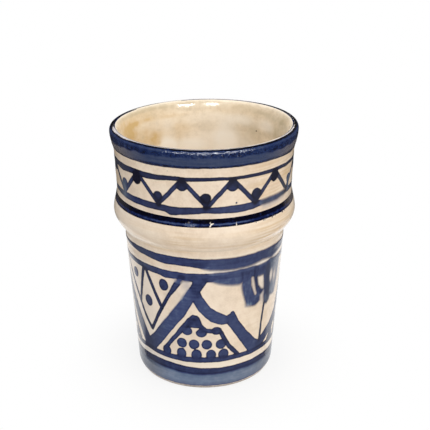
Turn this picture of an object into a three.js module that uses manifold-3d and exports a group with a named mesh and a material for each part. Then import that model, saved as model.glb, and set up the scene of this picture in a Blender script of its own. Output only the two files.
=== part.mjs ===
// A hand-thrown pottery tumbler without a handle: a clay body, a cream glaze inside and out, and
// the cobalt bands, zigzag frieze and painted panels that lie on the outer glaze as thin coats.
// Millimetres, +Z up, origin at the middle of the foot on the table.
import * as THREE from "three";
import { TessellateModifier } from "three/addons/modifiers/TessellateModifier.js";
import { mergeVertices } from "three/addons/utils/BufferGeometryUtils.js";
import Module from "manifold-3d";

const wasm = await Module();
wasm.setup();

// Outside of the glazed pot, stacked up from the table
const FOOT_HEIGHT = 1.6; // bare clay below the glaze
const WALL_HEIGHT = 67.3; // tapered wall, up to the corner under the shoulder
const SHOULDER_UNDER = 8.1; // from that corner up to the widest ring of the shoulder
const SHOULDER_OVER = 10.5; // from the widest ring up to the neck
const NECK_HEIGHT = 14.0;
const LIP_RISE = 10.4; // from the neck up to the middle of the rounded lip

// Steps of the outer radius, from the foot up
const BASE_RADIUS = 30.5;
const WALL_FLARE = 4.5;
const SHOULDER_STEP = 4.65;
const NECK_INSET = 1.6;
const NECK_FLARE = 0.6;
const LIP_FLARE = 1.25;
const LIP_ROUND = 1.6; // radius of the lip's edge, half its thickness

// Pull of the curves towards their control points, as shares of the step that each one makes
const UNDER_LEAN = 0.4;
const UNDER_LIFT = 0.1;
const UNDER_FULLNESS = 0.28;
const OVER_FULLNESS = 0.35;
const OVER_HOLLOW = 0.58;
const LIP_HOLLOW = 0.35;
const LIP_FULLNESS = 0.3;

// Thicknesses, glaze included
const WALL_THICKNESS = 4.2;
const NECK_THICKNESS = 3.6;
const FLOOR_THICKNESS = 6.0;
const FLOOR_CORNER = 9.0; // inside rounding between floor and wall

// Foot
const FOOT_ROUND = 1.2;
const FOOT_RING_WIDTH = 6.0; // flat ring that stands on the table
const FOOT_RECESS = 1.2; // depth of the turned underside
const RECESS_SLOPE = 1.5;

// Coats
const GLAZE_THICKNESS = 0.6;
const PAINT_THICKNESS = 0.25;
const COAT_GAP = 0.1; // clearance between a coat and what carries it

// Painted rings, stacked from the part of the pot that each one follows
const RIM_BAND_DROP = 5.5; // below the middle of the lip
const RIM_STRIPE = 3.9; // cream between the rim band and the frieze
const FRIEZE_UPPER_WIDTH = 1.5;
const SHOULDER_LINE_RISE = 4.2; // above the widest ring of the shoulder
const SHOULDER_LINE_WIDTH = 3.6;
const SHOULDER_STRIPE = 2.1; // cream between the shoulder line and the frieze
const FRIEZE_LOWER_WIDTH = 2.5;
const WAIST_LINE_DROP = 3.7; // below the corner under the shoulder
const WAIST_LINE_WIDTH = 4.4;
const WAIST_STRIPE = 2.3; // cream between the waist line and the panels
const PANEL_TOP_WIDTH = 3.8;
const BASE_BAND_RISE = 0.6; // above the edge of the glaze
const BASE_BAND_WIDTH = 9.0;
const BASE_STRIPE = 3.2; // cream between the base band and the panels
const PANEL_BOTTOM_WIDTH = 2.8;

// Painted strokes
const STROKE_GAP = 0.4; // cream left between strokes that don't run together
const ZIGZAG_COUNT = 12;
const ZIGZAG_STROKE = 2.6; // measured up the wall
const FRIEZE_DOT_RADIUS = 1.9;
const DOT_OVERLAP = 0.6; // how far a dot runs into the stroke beside it
const PANEL_COUNT = 4;
const TENT_STROKE = 5.6; // measured along the wall
const CORE_STROKE = 2.0;
const CORE_MARGIN = 4.2; // cream between a tent's leg and its core
const CHEVRON_STROKE = 2.2;
const CHEVRON_MARGIN = 3.4; // cream between a chevron and the tents beside it

// Fineness of the facets
const TURN_STEPS = 40;
const FACE_STEPS = 4;
const CLAY_STEPS = 2;
const DOT_STEPS = 4;
const SPLIT_ROUNDS = 16;
const STROKE_FACET = 5.6; // longest run of a stroke's edge round the pot
const FLATTENING = 0.001; // shrinks a stroke across the bend, so that only its runs round the pot are split

// Levels above the table
const wallTop = FOOT_HEIGHT + WALL_HEIGHT;
const shoulderLevel = wallTop + SHOULDER_UNDER;
const neckBottom = shoulderLevel + SHOULDER_OVER;
const neckTop = neckBottom + NECK_HEIGHT;
const lipLevel = neckTop + LIP_RISE;

// Outer radii of the glazed pot
const waistRadius = BASE_RADIUS + WALL_FLARE;
const shoulderRadius = waistRadius + SHOULDER_STEP;
const neckRadius = shoulderRadius - NECK_INSET;
const neckTopRadius = neckRadius + NECK_FLARE;
const lipCentreRadius = neckTopRadius + LIP_FLARE - LIP_ROUND;

const materials = {
  clay: { color: 0xa0867a, roughness: 0.85, metalness: 0 },
  cream: { color: 0xe9d5bb, roughness: 0.2, metalness: 0 },
  liner: { color: 0xe0cbb0, roughness: 0.25, metalness: 0 },
  cobalt: { color: 0x37416a, roughness: 0.2, metalness: 0 },
  navy: { color: 0x1c1f38, roughness: 0.12, metalness: 0 },
  wash: { color: 0x566888, roughness: 0.25, metalness: 0 },
};

const tumbler = new THREE.Group();

function addMesh(name, geometry, finish) {
  const mesh = new THREE.Mesh(geometry, new THREE.MeshStandardMaterial(materials[finish]));
  mesh.name = name;
  tumbler.add(mesh);
}

const at = (radius, level) => new THREE.Vector2(radius, level);

// Points of curves that follow each other, with each shared end point once.
function pathPoints(curves, curveSteps) {
  const steps = (curve) => (curve.isLineCurve ? 1 : curveSteps);
  return curves.flatMap((curve, i) => curve.getPoints(steps(curve)).slice(i ? 1 : 0));
}

function lipArc(fromAngle, toAngle) {
  return new THREE.EllipseCurve(lipCentreRadius, lipLevel, LIP_ROUND, LIP_ROUND, fromAngle, toAngle);
}

// Face of the outer glaze, from its lower edge to the crest of the lip.
function outsideCurves() {
  const foot = at(BASE_RADIUS, FOOT_HEIGHT);
  const waist = at(waistRadius, wallTop);
  const widest = at(shoulderRadius, shoulderLevel);
  const neck = at(neckRadius, neckBottom);
  const neckEnd = at(neckTopRadius, neckTop);
  const lip = at(lipCentreRadius + LIP_ROUND, lipLevel);
  const underOut = at(waistRadius + UNDER_LEAN * SHOULDER_STEP, wallTop + UNDER_LIFT * SHOULDER_UNDER);
  const underUp = at(shoulderRadius, shoulderLevel - UNDER_FULLNESS * SHOULDER_UNDER);
  const overUp = at(shoulderRadius, shoulderLevel + OVER_FULLNESS * SHOULDER_OVER);
  const overIn = at(neckRadius, neckBottom - OVER_HOLLOW * SHOULDER_OVER);
  const lipFoot = at(neckTopRadius, neckTop + LIP_HOLLOW * LIP_RISE);
  const lipSide = at(lip.x, lipLevel - LIP_FULLNESS * LIP_RISE);
  return [
    new THREE.LineCurve(foot, waist),
    new THREE.CubicBezierCurve(waist, underOut, underUp, widest),
    new THREE.CubicBezierCurve(widest, overUp, overIn, neck),
    new THREE.LineCurve(neck, neckEnd),
    new THREE.CubicBezierCurve(neckEnd, lipFoot, lipSide, lip),
    lipArc(0, Math.PI / 2),
  ];
}

// Face of the liner glaze, from the crest of the lip to the middle of the floor.
function insideCurves() {
  const lip = at(lipCentreRadius - LIP_ROUND, lipLevel);
  const neckEnd = at(neckTopRadius - NECK_THICKNESS, neckTop);
  const neck = at(neckRadius - NECK_THICKNESS, neckBottom);
  const waist = at(waistRadius - WALL_THICKNESS, wallTop);
  const floorRadius = BASE_RADIUS - WALL_THICKNESS;
  const wallEnd = at(floorRadius, FLOOR_THICKNESS + FLOOR_CORNER);
  const floorEnd = at(floorRadius - FLOOR_CORNER, FLOOR_THICKNESS);
  return [
    lipArc(Math.PI / 2, Math.PI),
    new THREE.LineCurve(lip, neckEnd),
    new THREE.LineCurve(neckEnd, neck),
    new THREE.CubicBezierCurve(neck, at(neck.x, shoulderLevel), at(waist.x, shoulderLevel), waist),
    new THREE.LineCurve(waist, wallEnd),
    new THREE.QuadraticBezierCurve(wallEnd, at(floorRadius, FLOOR_THICKNESS), floorEnd),
    new THREE.LineCurve(floorEnd, at(0, FLOOR_THICKNESS)),
  ];
}

// A line of points shifted sideways, to the left of its direction for a positive distance.
function shifted(points, distance) {
  const normals = points.slice(1).map((point, i) => {
    const along = point.clone().sub(points[i]).normalize();
    return at(-along.y, along.x);
  });
  return points.map((point, i) => {
    const before = normals[Math.max(i - 1, 0)];
    const after = normals[Math.min(i, normals.length - 1)];
    const mitre = before.clone().add(after).divideScalar(1 + before.dot(after));
    return point.clone().addScaledVector(mitre, distance);
  });
}

// A solid turned about +Z from a profile that closes on itself or on the axis.
function turned(profile) {
  return new THREE.LatheGeometry(profile, TURN_STEPS).rotateX(Math.PI / 2);
}

// A coat between two faces that run the same way, the outer one on the right.
function coat(rightFace, leftFace) {
  return turned([...rightFace, ...leftFace.slice().reverse(), rightFace[0].clone()]);
}

// Faces of the two glazes, and coarser lines that the clay under them follows, up to the crest
// of the lip on the outside and from there down on the inside.
const outside = pathPoints(outsideCurves(), FACE_STEPS);
const inside = pathPoints(insideCurves(), FACE_STEPS);
const outsideCore = pathPoints(outsideCurves(), CLAY_STEPS);
const insideCore = pathPoints(insideCurves(), CLAY_STEPS);
const core = [...outsideCore, ...insideCore.slice(1)];
const crestIndex = outsideCore.length - 1;
const glazeBack = shifted(core, GLAZE_THICKNESS);

function clayBody() {
  const clayFace = shifted(core, GLAZE_THICKNESS + COAT_GAP);
  const footRadius = clayFace[0].x;
  const ringInside = footRadius - FOOT_ROUND - FOOT_RING_WIDTH;
  const edge = new THREE.EllipseCurve(
    footRadius - FOOT_ROUND, FOOT_ROUND, FOOT_ROUND, FOOT_ROUND, -Math.PI / 2, 0);
  const underside = [at(0, FOOT_RECESS), at(ringInside - RECESS_SLOPE, FOOT_RECESS), at(ringInside, 0)];
  return turned([...underside, ...edge.getPoints(FACE_STEPS), ...clayFace]);
}

function outerGlaze() {
  return coat(outside, glazeBack.slice(0, crestIndex + 1));
}

function innerGlaze() {
  return turned([...glazeBack.slice(crestIndex).reverse(), ...inside]);
}

// Stretch of the outer glaze's face between two levels.
function outsideBetween(low, high) {
  const between = outside.filter((point) => point.y > low && point.y < high);
  return [at(outsideRadius(low), low), ...between, at(outsideRadius(high), high)];
}

function outsideRadius(level) {
  const next = outside.findIndex((point, i) => i > 0 && point.y >= level);
  const [below, above] = [outside[next - 1], outside[next]];
  return THREE.MathUtils.mapLinear(level, below.y, above.y, below.x, above.x);
}

// A painted coat on a stretch of the outer glaze's face.
function paintedRing(face) {
  return coat(shifted(face, -COAT_GAP - PAINT_THICKNESS), shifted(face, -COAT_GAP));
}

function closedMesh(geometry) {
  geometry.deleteAttribute("normal");
  geometry.deleteAttribute("uv");
  return mergeVertices(geometry);
}

function solid(geometry) {
  const merged = closedMesh(geometry);
  const vertProperties = new Float32Array(merged.attributes.position.array);
  const triVerts = new Uint32Array(merged.index.array);
  return new wasm.Manifold(new wasm.Mesh({ numProp: 3, vertProperties, triVerts }));
}

function joined(geometries) {
  const whole = geometries.map(solid).reduce((sum, next) => sum.add(next));
  const { vertProperties, triVerts } = whole.getMesh();
  const geometry = new THREE.BufferGeometry();
  geometry.setAttribute("position", new THREE.BufferAttribute(vertProperties, 3));
  geometry.setIndex(new THREE.BufferAttribute(triVerts, 1));
  return geometry;
}

// A flat stroke of paint: x runs round the pot, y up the wall, z out of it.
function flatStroke(shape) {
  return new THREE.ExtrudeGeometry(shape, {
    depth: PAINT_THICKNESS, bevelEnabled: false, curveSegments: DOT_STEPS,
  });
}

function flatDot(x, y, radius) {
  const dot = new THREE.Shape();
  dot.absarc(x, y, radius, 0, 2 * Math.PI, false);
  return flatStroke(dot);
}

// Two legs that meet at a tip: rise is negative where the tip points down.
function flatLegs(halfSpan, rise, stroke, foot) {
  const innerSpan = halfSpan - stroke;
  const innerRise = (rise * innerSpan) / halfSpan;
  return flatStroke(new THREE.Shape([
    at(-halfSpan, foot), at(-innerSpan, foot), at(0, foot + innerRise),
    at(innerSpan, foot), at(halfSpan, foot), at(0, foot + rise),
  ]));
}

// A flat painting bent round the pot at the given angle, with its lower edge at the given level.
function bentRound(geometry, level, height, angle) {
  const bendRadius = outsideRadius(level + height / 2);
  const strip = geometry.scale(1, FLATTENING, FLATTENING);
  const split = new TessellateModifier(STROKE_FACET, SPLIT_ROUNDS).modify(strip);
  const bent = closedMesh(split.scale(1, 1 / FLATTENING, 1 / FLATTENING));
  const position = bent.attributes.position;
  const point = new THREE.Vector3();
  for (let i = 0; i < position.count; i++) {
    point.fromBufferAttribute(position, i);
    const z = level + point.y;
    const radius = outsideRadius(z) + COAT_GAP + point.z;
    const turn = angle + point.x / bendRadius;
    position.setXYZ(i, radius * Math.sin(turn), -radius * Math.cos(turn), z);
  }
  return bent;
}

// Levels of the painted rings
const rimBand = lipLevel - RIM_BAND_DROP;
const friezeTop = rimBand - RIM_STRIPE;
const friezeUpper = friezeTop - FRIEZE_UPPER_WIDTH;
const shoulderLine = shoulderLevel + SHOULDER_LINE_RISE;
const shoulderLineTop = shoulderLine + SHOULDER_LINE_WIDTH;
const friezeBottom = shoulderLineTop + SHOULDER_STRIPE;
const friezeLower = friezeBottom + FRIEZE_LOWER_WIDTH;
const waistLineTop = wallTop - WAIST_LINE_DROP;
const waistLine = waistLineTop - WAIST_LINE_WIDTH;
const panelTop = waistLine - WAIST_STRIPE;
const panelUpper = panelTop - PANEL_TOP_WIDTH;
const baseBand = FOOT_HEIGHT + BASE_BAND_RISE;
const baseBandTop = baseBand + BASE_BAND_WIDTH;
const panelBottom = baseBandTop + BASE_STRIPE;
const panelLower = panelBottom + PANEL_BOTTOM_WIDTH;

// Zigzag that runs once round the neck, with a dot in each bend; its two ends meet at the back.
function friezeZigzag() {
  const level = friezeLower + STROKE_GAP;
  const height = friezeUpper - STROKE_GAP - level;
  const around = 2 * Math.PI * outsideRadius(level + height / 2) - STROKE_GAP;
  const halfStep = around / (2 * ZIGZAG_COUNT);
  const bends = Array.from({ length: 2 * ZIGZAG_COUNT + 1 }, (_, i) => {
    const up = i % 2 === 1;
    return at(i * halfStep - around / 2, up ? height - ZIGZAG_STROKE : 0);
  });
  const raised = bends.map((bend) => at(bend.x, bend.y + ZIGZAG_STROKE));
  const stroke = flatStroke(new THREE.Shape([...bends, ...raised.reverse()]));
  const reach = ZIGZAG_STROKE + FRIEZE_DOT_RADIUS - DOT_OVERLAP;
  const dots = bends.slice(1, -1).map((bend, i) => {
    const y = i % 2 === 0 ? height - reach : reach;
    return flatDot(bend.x, y, FRIEZE_DOT_RADIUS);
  });
  return bentRound(joined([stroke, ...dots]), level, height, 0);
}

// Painted panels between the two panel lines
const panelLevel = panelLower + STROKE_GAP;
const panelHeight = panelUpper - STROKE_GAP - panelLevel;
const panelRadius = outsideRadius(panelLevel + panelHeight / 2);
const panelWidth = (2 * Math.PI * panelRadius) / PANEL_COUNT;
const tentHalfSpan = (panelWidth - STROKE_GAP) / 2;
const tentSlope = panelHeight / tentHalfSpan;

function tent(angle) {
  const legs = flatLegs(tentHalfSpan, panelHeight, TENT_STROKE, 0);
  return bentRound(legs, panelLevel, panelHeight, angle);
}

// Outlined triangle under a tent.
function tentCore(angle) {
  const halfSpan = tentHalfSpan - TENT_STROKE - CORE_MARGIN;
  const legs = flatLegs(halfSpan, halfSpan * tentSlope, CORE_STROKE, 0);
  return bentRound(legs, panelLevel, panelHeight, angle);
}

// Hanging triangle between two tents, split by two strokes from the middle of its upper side.
function chevron(angle) {
  const halfSpan = tentHalfSpan - CHEVRON_MARGIN;
  const depth = halfSpan * tentSlope;
  const hanging = flatLegs(halfSpan, -depth, CHEVRON_STROKE, panelHeight);
  const splitFoot = panelHeight - depth / 2;
  const splitHalfSpan = halfSpan / 2;
  const split = flatLegs(splitHalfSpan, depth / 2, CHEVRON_STROKE, splitFoot);
  return bentRound(joined([hanging, split]), panelLevel, panelHeight, angle);
}

addMesh("clay_body", clayBody(), "clay");
addMesh("inner_glaze", innerGlaze(), "liner");
addMesh("outer_glaze", outerGlaze(), "cream");

const crest = outside[outside.length - 1].y;
addMesh("rim_band", paintedRing(outsideBetween(rimBand, crest)), "navy");
addMesh("frieze_upper_line", paintedRing(outsideBetween(friezeUpper, friezeTop)), "cobalt");
addMesh("frieze_zigzag", friezeZigzag(), "cobalt");
addMesh("frieze_lower_line", paintedRing(outsideBetween(friezeBottom, friezeLower)), "cobalt");
addMesh("shoulder_line", paintedRing(outsideBetween(shoulderLine, shoulderLineTop)), "navy");
addMesh("waist_line", paintedRing(outsideBetween(waistLine, waistLineTop)), "cobalt");
addMesh("panel_top_line", paintedRing(outsideBetween(panelUpper, panelTop)), "cobalt");
addMesh("panel_bottom_line", paintedRing(outsideBetween(panelBottom, panelLower)), "cobalt");
addMesh("base_band", paintedRing(outsideBetween(baseBand, baseBandTop)), "wash");

const panelAngle = (2 * Math.PI) / PANEL_COUNT;
for (let i = 0; i < PANEL_COUNT; i++) {
  addMesh(`panel_tent_${i + 1}`, tent(i * panelAngle), "cobalt");
  addMesh(`tent_core_${i + 1}`, tentCore(i * panelAngle), "cobalt");
  addMesh(`panel_chevron_${i + 1}`, chevron((i + 0.5) * panelAngle), "cobalt");
}

export default tumbler;
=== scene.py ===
import math

import bpy
import numpy as np
from mathutils import Matrix, Vector


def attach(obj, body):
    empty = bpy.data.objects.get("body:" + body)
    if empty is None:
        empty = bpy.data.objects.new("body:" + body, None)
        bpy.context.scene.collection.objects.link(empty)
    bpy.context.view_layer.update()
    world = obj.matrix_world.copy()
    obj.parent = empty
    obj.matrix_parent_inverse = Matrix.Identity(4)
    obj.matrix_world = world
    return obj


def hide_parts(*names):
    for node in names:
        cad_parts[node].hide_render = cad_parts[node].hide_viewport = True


# A hand-thrown and hand-painted pottery tumbler: a clay body, a liner glaze inside, a painted glaze
# outside in two pieces, and two thick cobalt coats over it, one round the lip and one round the shoulder.
# Sizes are in millimetres and angles in degrees, counted from the side that faces the camera
# towards the viewer's right. Meshes are made in metres.
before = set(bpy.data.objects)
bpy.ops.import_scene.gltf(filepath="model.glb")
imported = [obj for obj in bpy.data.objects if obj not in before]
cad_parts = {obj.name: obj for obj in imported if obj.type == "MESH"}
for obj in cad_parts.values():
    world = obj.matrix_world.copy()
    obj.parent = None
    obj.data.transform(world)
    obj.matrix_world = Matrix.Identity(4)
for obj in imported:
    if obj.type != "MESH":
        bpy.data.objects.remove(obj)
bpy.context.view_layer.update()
MM = 0.001

# Outside of the pot, stacked up from the table
FOOT_HEIGHT = 0.9
WALL_HEIGHT = 68.0
SHOULDER_UNDER = 8.1
SHOULDER_OVER = 10.55
NECK_HEIGHT = 13.9
LIP_RISE = 10.45

# Steps of the outer radius, from the foot up
BASE_RADIUS = 30.5
WALL_FLARE = 4.53
WALL_BOW = 0.08
SHOULDER_STEP = 4.65
NECK_INSET = 1.6
NECK_FLARE = 0.58
LIP_FLARE = 1.6
LIP_ROUND = 1.8

# Pull of the curves towards their control points, as shares of the step that each one makes
UNDER_LEAN, UNDER_LIFT, UNDER_FULLNESS = 0.4, 0.1, 0.28
OVER_FULLNESS, OVER_HOLLOW = 0.35, 0.58
LIP_HOLLOW, LIP_FULLNESS = 0.35, 0.3

# Inside and underside
WALL_THICKNESS = 4.2
NECK_THICKNESS = 3.6
FLOOR_THICKNESS = 6.0
FLOOR_CORNER = 9.0
FOOT_INSET = 1.2
FOOT_RING_WIDTH = 6.0
FOOT_RECESS = 1.2
RECESS_SLOPE = 1.5
LIP_FLARE_TILT = 24
LIP_FLARE_REACH = 2.2

# Bare edge of the foot: pulls of its curve, inset of its top and height in which it steps under the glaze
FOOT_PULL, EDGE_PULL = (0.5, 0.05), (0.15, 0.5)
EDGE_INSET = 0.1
GLAZE_LAP = 0.5

# Coats and where one ends and the next begins
GLAZE_THICKNESS = 0.6
GLAZE_EDGE = 1.5
BODY_TOP = 82.8
NECK_TOP = 106.8
RIM_BOTTOM = 106.1
RIM_RELIEF = 0.14
SHOULDER_LINE = (81.0, 84.55)
SHOULDER_LINE_RELIEF = 0.12
PAINT_RELIEF = 0.06

# Edges of the paint: how far they blur and rise, and how much of a crossing stroke shows through
SHARP = 0.14
PAINT_RISES = (-0.3, 0.3)
CROSSING = 0.22

# Fineness of the meshes
COLUMNS = 540
DENSE_STEP = 0.02
FACE_STEP = 0.55
FINE_STEP = 0.4
COAT_STEP = 0.25
LINER_STEP = 0.7
CLAY_STEP = 3.0
FOOT_STEP, FOOT_EDGE_STEP = 0.8, 0.4
BACK_STEP = 6.0
SHARP_ANGLE = 50

# Bake map: the shown face in two half turns, one above the other, and the rest in a strip over them
HALF_TURN_TALL, HALF_TURN_FILL = 0.475, 0.98
STRIP_FROM, STRIP_TALL = 0.955, 0.04

# Camera of the photograph, for a square picture
PICTURE_PIXELS = 430
FOCAL_PIXELS = 908.3
SENSOR = 36.0
CAMERA_AT = (0.0, -373.87, 223.65)
CAMERA_DOWN = 22.252
CAMERA_RIGHT = 0.713
CAMERA_ROLL = -0.087

wall_top = FOOT_HEIGHT + WALL_HEIGHT
shoulder_level = wall_top + SHOULDER_UNDER
neck_bottom = shoulder_level + SHOULDER_OVER
neck_top = neck_bottom + NECK_HEIGHT
lip_level = neck_top + LIP_RISE
crest_level = lip_level + LIP_ROUND
waist_radius = BASE_RADIUS + WALL_FLARE
shoulder_radius = waist_radius + SHOULDER_STEP
neck_radius = shoulder_radius - NECK_INSET
neck_top_radius = neck_radius + NECK_FLARE
lip_radius = neck_top_radius + LIP_FLARE
crest_radius = lip_radius - LIP_ROUND


# Paths of (radius, height) points

def point(radius, height):
    return np.array([radius, height], float)


def line(start, end, steps=40):
    return np.linspace(start, end, steps + 1)


def curve(start, pull_start, pull_end, end, steps=60):
    t = np.linspace(0, 1, steps + 1)[:, None]
    s = 1 - t
    return s**3 * start + 3 * s**2 * t * pull_start + 3 * s * t**2 * pull_end + t**3 * end


def lip_arc(from_angle, to_angle, steps=24):
    turn = np.radians(np.linspace(from_angle, to_angle, steps + 1))
    return np.stack([crest_radius + LIP_ROUND * np.cos(turn), lip_level + LIP_ROUND * np.sin(turn)], 1)


def joined(*parts):
    return np.concatenate([parts[0], *[part[1:] for part in parts[1:]]])


def lengths_along(path):
    return np.concatenate([[0], np.cumsum(np.hypot(*np.diff(path, axis=0).T))])


def evenly(path, step):
    """The same path with points at even steps."""
    lengths = lengths_along(path)
    wanted = np.linspace(0, lengths[-1], max(2, round(lengths[-1] / step) + 1))
    return np.stack([np.interp(wanted, lengths, path[:, k]) for k in (0, 1)], 1)


def normals_of(path):
    """Unit vectors to the right of the path's direction: outwards on the way up."""
    along = np.gradient(path, axis=0)
    along /= np.hypot(*along.T)[:, None]
    return np.stack([along[:, 1], -along[:, 0]], 1)


def outside_path():
    """Outer face from the top of the foot to the crest of the lip."""
    foot = point(BASE_RADIUS, FOOT_HEIGHT)
    waist = point(waist_radius, wall_top)
    widest = point(shoulder_radius, shoulder_level)
    neck = point(neck_radius, neck_bottom)
    neck_end = point(neck_top_radius, neck_top)
    lip = point(lip_radius, lip_level)
    wall = line(foot, waist)
    share = np.linspace(0, 1, len(wall))
    wall[:, 0] += WALL_BOW * 4 * share * (1 - share)
    under_out = waist + point(UNDER_LEAN * SHOULDER_STEP, UNDER_LIFT * SHOULDER_UNDER)
    under_up = widest - point(0, UNDER_FULLNESS * SHOULDER_UNDER)
    over_up = widest + point(0, OVER_FULLNESS * SHOULDER_OVER)
    over_in = neck - point(0, OVER_HOLLOW * SHOULDER_OVER)
    lip_foot = neck_end + point(0, LIP_HOLLOW * LIP_RISE)
    lip_side = lip - point(0, LIP_FULLNESS * LIP_RISE)
    return joined(
        wall,
        curve(waist, under_out, under_up, widest),
        curve(widest, over_up, over_in, neck),
        line(neck, neck_end),
        curve(neck_end, lip_foot, lip_side, lip),
        lip_arc(0, 90),
    )


def inside_path():
    """Liner's face from the crest of the lip to the middle of the floor."""
    lip = lip_arc(90, 180 - LIP_FLARE_TILT)
    tilt = math.radians(LIP_FLARE_TILT)
    flare = lip[-1] - LIP_FLARE_REACH * point(math.sin(tilt), math.cos(tilt))
    neck_end = point(neck_top_radius - NECK_THICKNESS, neck_top)
    neck = point(neck_radius - NECK_THICKNESS, neck_bottom)
    waist = point(waist_radius - WALL_THICKNESS, wall_top)
    floor_radius = BASE_RADIUS - WALL_THICKNESS
    wall_end = point(floor_radius, FLOOR_THICKNESS + FLOOR_CORNER)
    floor_end = point(floor_radius - FLOOR_CORNER, FLOOR_THICKNESS)
    corner = point(floor_radius, FLOOR_THICKNESS)
    return joined(
        lip,
        curve(lip[-1], flare, neck_end + point(0, LIP_RISE / 3), neck_end),
        line(neck_end, neck),
        curve(neck, point(neck[0], shoulder_level), point(waist[0], shoulder_level), waist),
        line(waist, wall_end),
        curve(wall_end, corner, corner, floor_end),
        line(floor_end, point(0, FLOOR_THICKNESS)),
    )


outside = outside_path()
inside = inside_path()


def between(low, high, step):
    """Stretch of the outer face between two heights."""
    dense = evenly(outside, DENSE_STEP)
    return evenly(dense[(dense[:, 1] >= low) & (dense[:, 1] <= high)], step)


# Unevenness of hand work, with pairs of heights where a change begins and ends

WAVER_WAVES = 7
WALL_FULLNESS, FULL_UP_TO = 0.35, (70, 79)
BELLY_FULLNESS, BELLY_HEIGHT, BELLY_REACH = 0.2, 74.5, 2.5
FOOT_TRUE_UP_TO = (0.8, 3)
SLOW_LEAN, RING_DEPTH, WOBBLE_FROM = 0.07, 0.025, (1, 8)
RING_WAVE, RING_DRIFT, RING_SWELL = 1.9, 0.31, 0.23
LIP_DIP, LIP_SWAY, LIP_TILT_FROM = 0.3, 0.7, 96
BRUSH_WAVER = 0.09


def smooth(low, high, x):
    t = np.clip((x - low) / (high - low), 0, 1)
    return t * t * (3 - 2 * t)


def hump(middle, reach, x):
    return np.exp(-(((x - middle) / reach) ** 2))


def waver(angle, height, most_waves, seed, per_mm=0.02):
    """Smooth unevenness of about -1 to 1 that closes after a full turn."""
    rng = np.random.default_rng(seed)
    total = 0
    for _ in range(WAVER_WAVES):
        waves = rng.integers(2, most_waves + 1)
        lean = rng.normal(0, waves * per_mm)
        total = total + np.sin(np.radians(angle * waves) + height * lean + rng.uniform(0, 2 * math.pi))
    return total / (WAVER_WAVES / 2)


def wall_fullness(height):
    """How much fuller the wall is than the turned outline, up to the shoulder."""
    belly = BELLY_FULLNESS * hump(BELLY_HEIGHT, BELLY_REACH, height)
    return (WALL_FULLNESS * (1 - smooth(*FULL_UP_TO, height)) + belly) * smooth(*FOOT_TRUE_UP_TO, height)


def pot_wobble(angle, height):
    """How far the wall stands off a true turning: its fullness, a slow lean and throwing rings."""
    swell = 0.5 + 0.5 * np.sin(height * RING_SWELL)
    rings = np.sin(height * RING_WAVE + 0.8 * np.sin(height * RING_DRIFT)) * swell
    slow = waver(angle, height, 4, seed=3, per_mm=0.004)
    return wall_fullness(height) + (SLOW_LEAN * slow + RING_DEPTH * rings) * smooth(*WOBBLE_FROM, height)


def lip_tilt(angle, height):
    """The lip isn't level: behind, it dips on the left and rises on the right."""
    back = (1 - np.cos(np.radians(angle))) / 2
    dip = -LIP_DIP * back + LIP_SWAY * back * np.sin(np.radians(angle))
    return dip * smooth(LIP_TILT_FROM, crest_level, height)


# Turned meshes

def turn_angles():
    return np.arange(COLUMNS) * 360 / COLUMNS - 180


def grid_of(path):
    """Angle and height of each point of a path turned round the axis, one row for each path point."""
    angle = np.broadcast_to(turn_angles(), (len(path), COLUMNS))
    height = np.broadcast_to(path[:, 1:], angle.shape)
    return angle, height


def turned_points(path, offset):
    """Points of the turned path, set off along its normals by offset and by the pot's own unevenness."""
    angle, height = grid_of(path)
    normal = normals_of(path)
    away = offset + pot_wobble(angle, height)
    radius = np.maximum(path[:, :1] + normal[:, :1] * away, 0)
    radius = np.where(path[:, :1] <= 0, 0, radius)
    level = height + normal[:, 1:] * away + lip_tilt(angle, height)
    turn = np.radians(angle)
    return np.stack([radius * np.sin(turn), -radius * np.cos(turn), level], 2)


def placed(name, data):
    holder = bpy.data.objects.new(name, data)
    bpy.context.scene.collection.objects.link(holder)
    return holder


def turned_mesh(name, rows, loop, shown):
    """Mesh through rows of points round the axis. A row on the axis is one point. The first rows, as many
    as shown, take most of the bake map."""
    columns = len(rows[0])
    on_axis = [np.abs(row[:, :2]).max() < 1e-6 for row in rows]
    points, index = [], []
    for row, pole in zip(rows, on_axis):
        start = len(points)
        points.extend(row[:1] if pole else row)
        index.append(np.full(columns, start) if pole else start + np.arange(columns))
    run = lengths_along(np.array([(np.hypot(row[0, 0], row[0, 1]), row[0, 2]) for row in rows]))
    column = np.arange(columns)
    following = (column + 1) % columns
    quarter = columns // 4
    half = ((column + quarter) // (2 * quarter)) % 2
    along_half = (column + quarter) % (2 * quarter)
    faces, places = [], []
    for i in range(len(rows) if loop else len(rows) - 1):
        k = (i + 1) % len(rows)
        if on_axis[i] and on_axis[k]:
            continue
        if i < shown - 1:
            left, right = along_half / (2 * quarter), (along_half + 1) / (2 * quarter)
            share = run[[i, i + 1]] / run[shown - 1] * HALF_TURN_FILL
            low, high = ((half + level) * HALF_TURN_TALL for level in share)
        else:
            left, right = column / columns, (column + 1) / columns
            rest = max(len(rows) - shown + 1, 1)
            share = [(j - shown + 1) / rest for j in (i, i + 1)]
            low, high = (np.full(columns, STRIP_FROM + STRIP_TALL * level) for level in share)
        corners = [index[i], index[i][following], index[k][following], index[k]]
        uv = [(left, low), (right, low), (right, high), (left, high)]
        drop = 1 if on_axis[i] else 3 if on_axis[k] else None
        keep = [c for c in range(4) if c != drop]
        faces.extend(np.stack([corners[c] for c in keep], 1).tolist())
        places.append(np.stack([np.stack(uv[c], 1) for c in keep], 1).reshape(-1, 2))
    mesh = bpy.data.meshes.new(name)
    mesh.from_pydata((np.array(points) * MM).tolist(), [], faces)
    mesh.polygons.foreach_set("use_smooth", np.ones(len(faces), bool))
    bake_map = mesh.uv_layers.new(name="OFBake")
    bake_map.data.foreach_set("uv", np.concatenate(places).astype(np.float32).ravel())
    mesh.set_sharp_from_angle(angle=math.radians(SHARP_ANGLE))
    mesh.validate()
    return placed(name, mesh)


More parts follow.
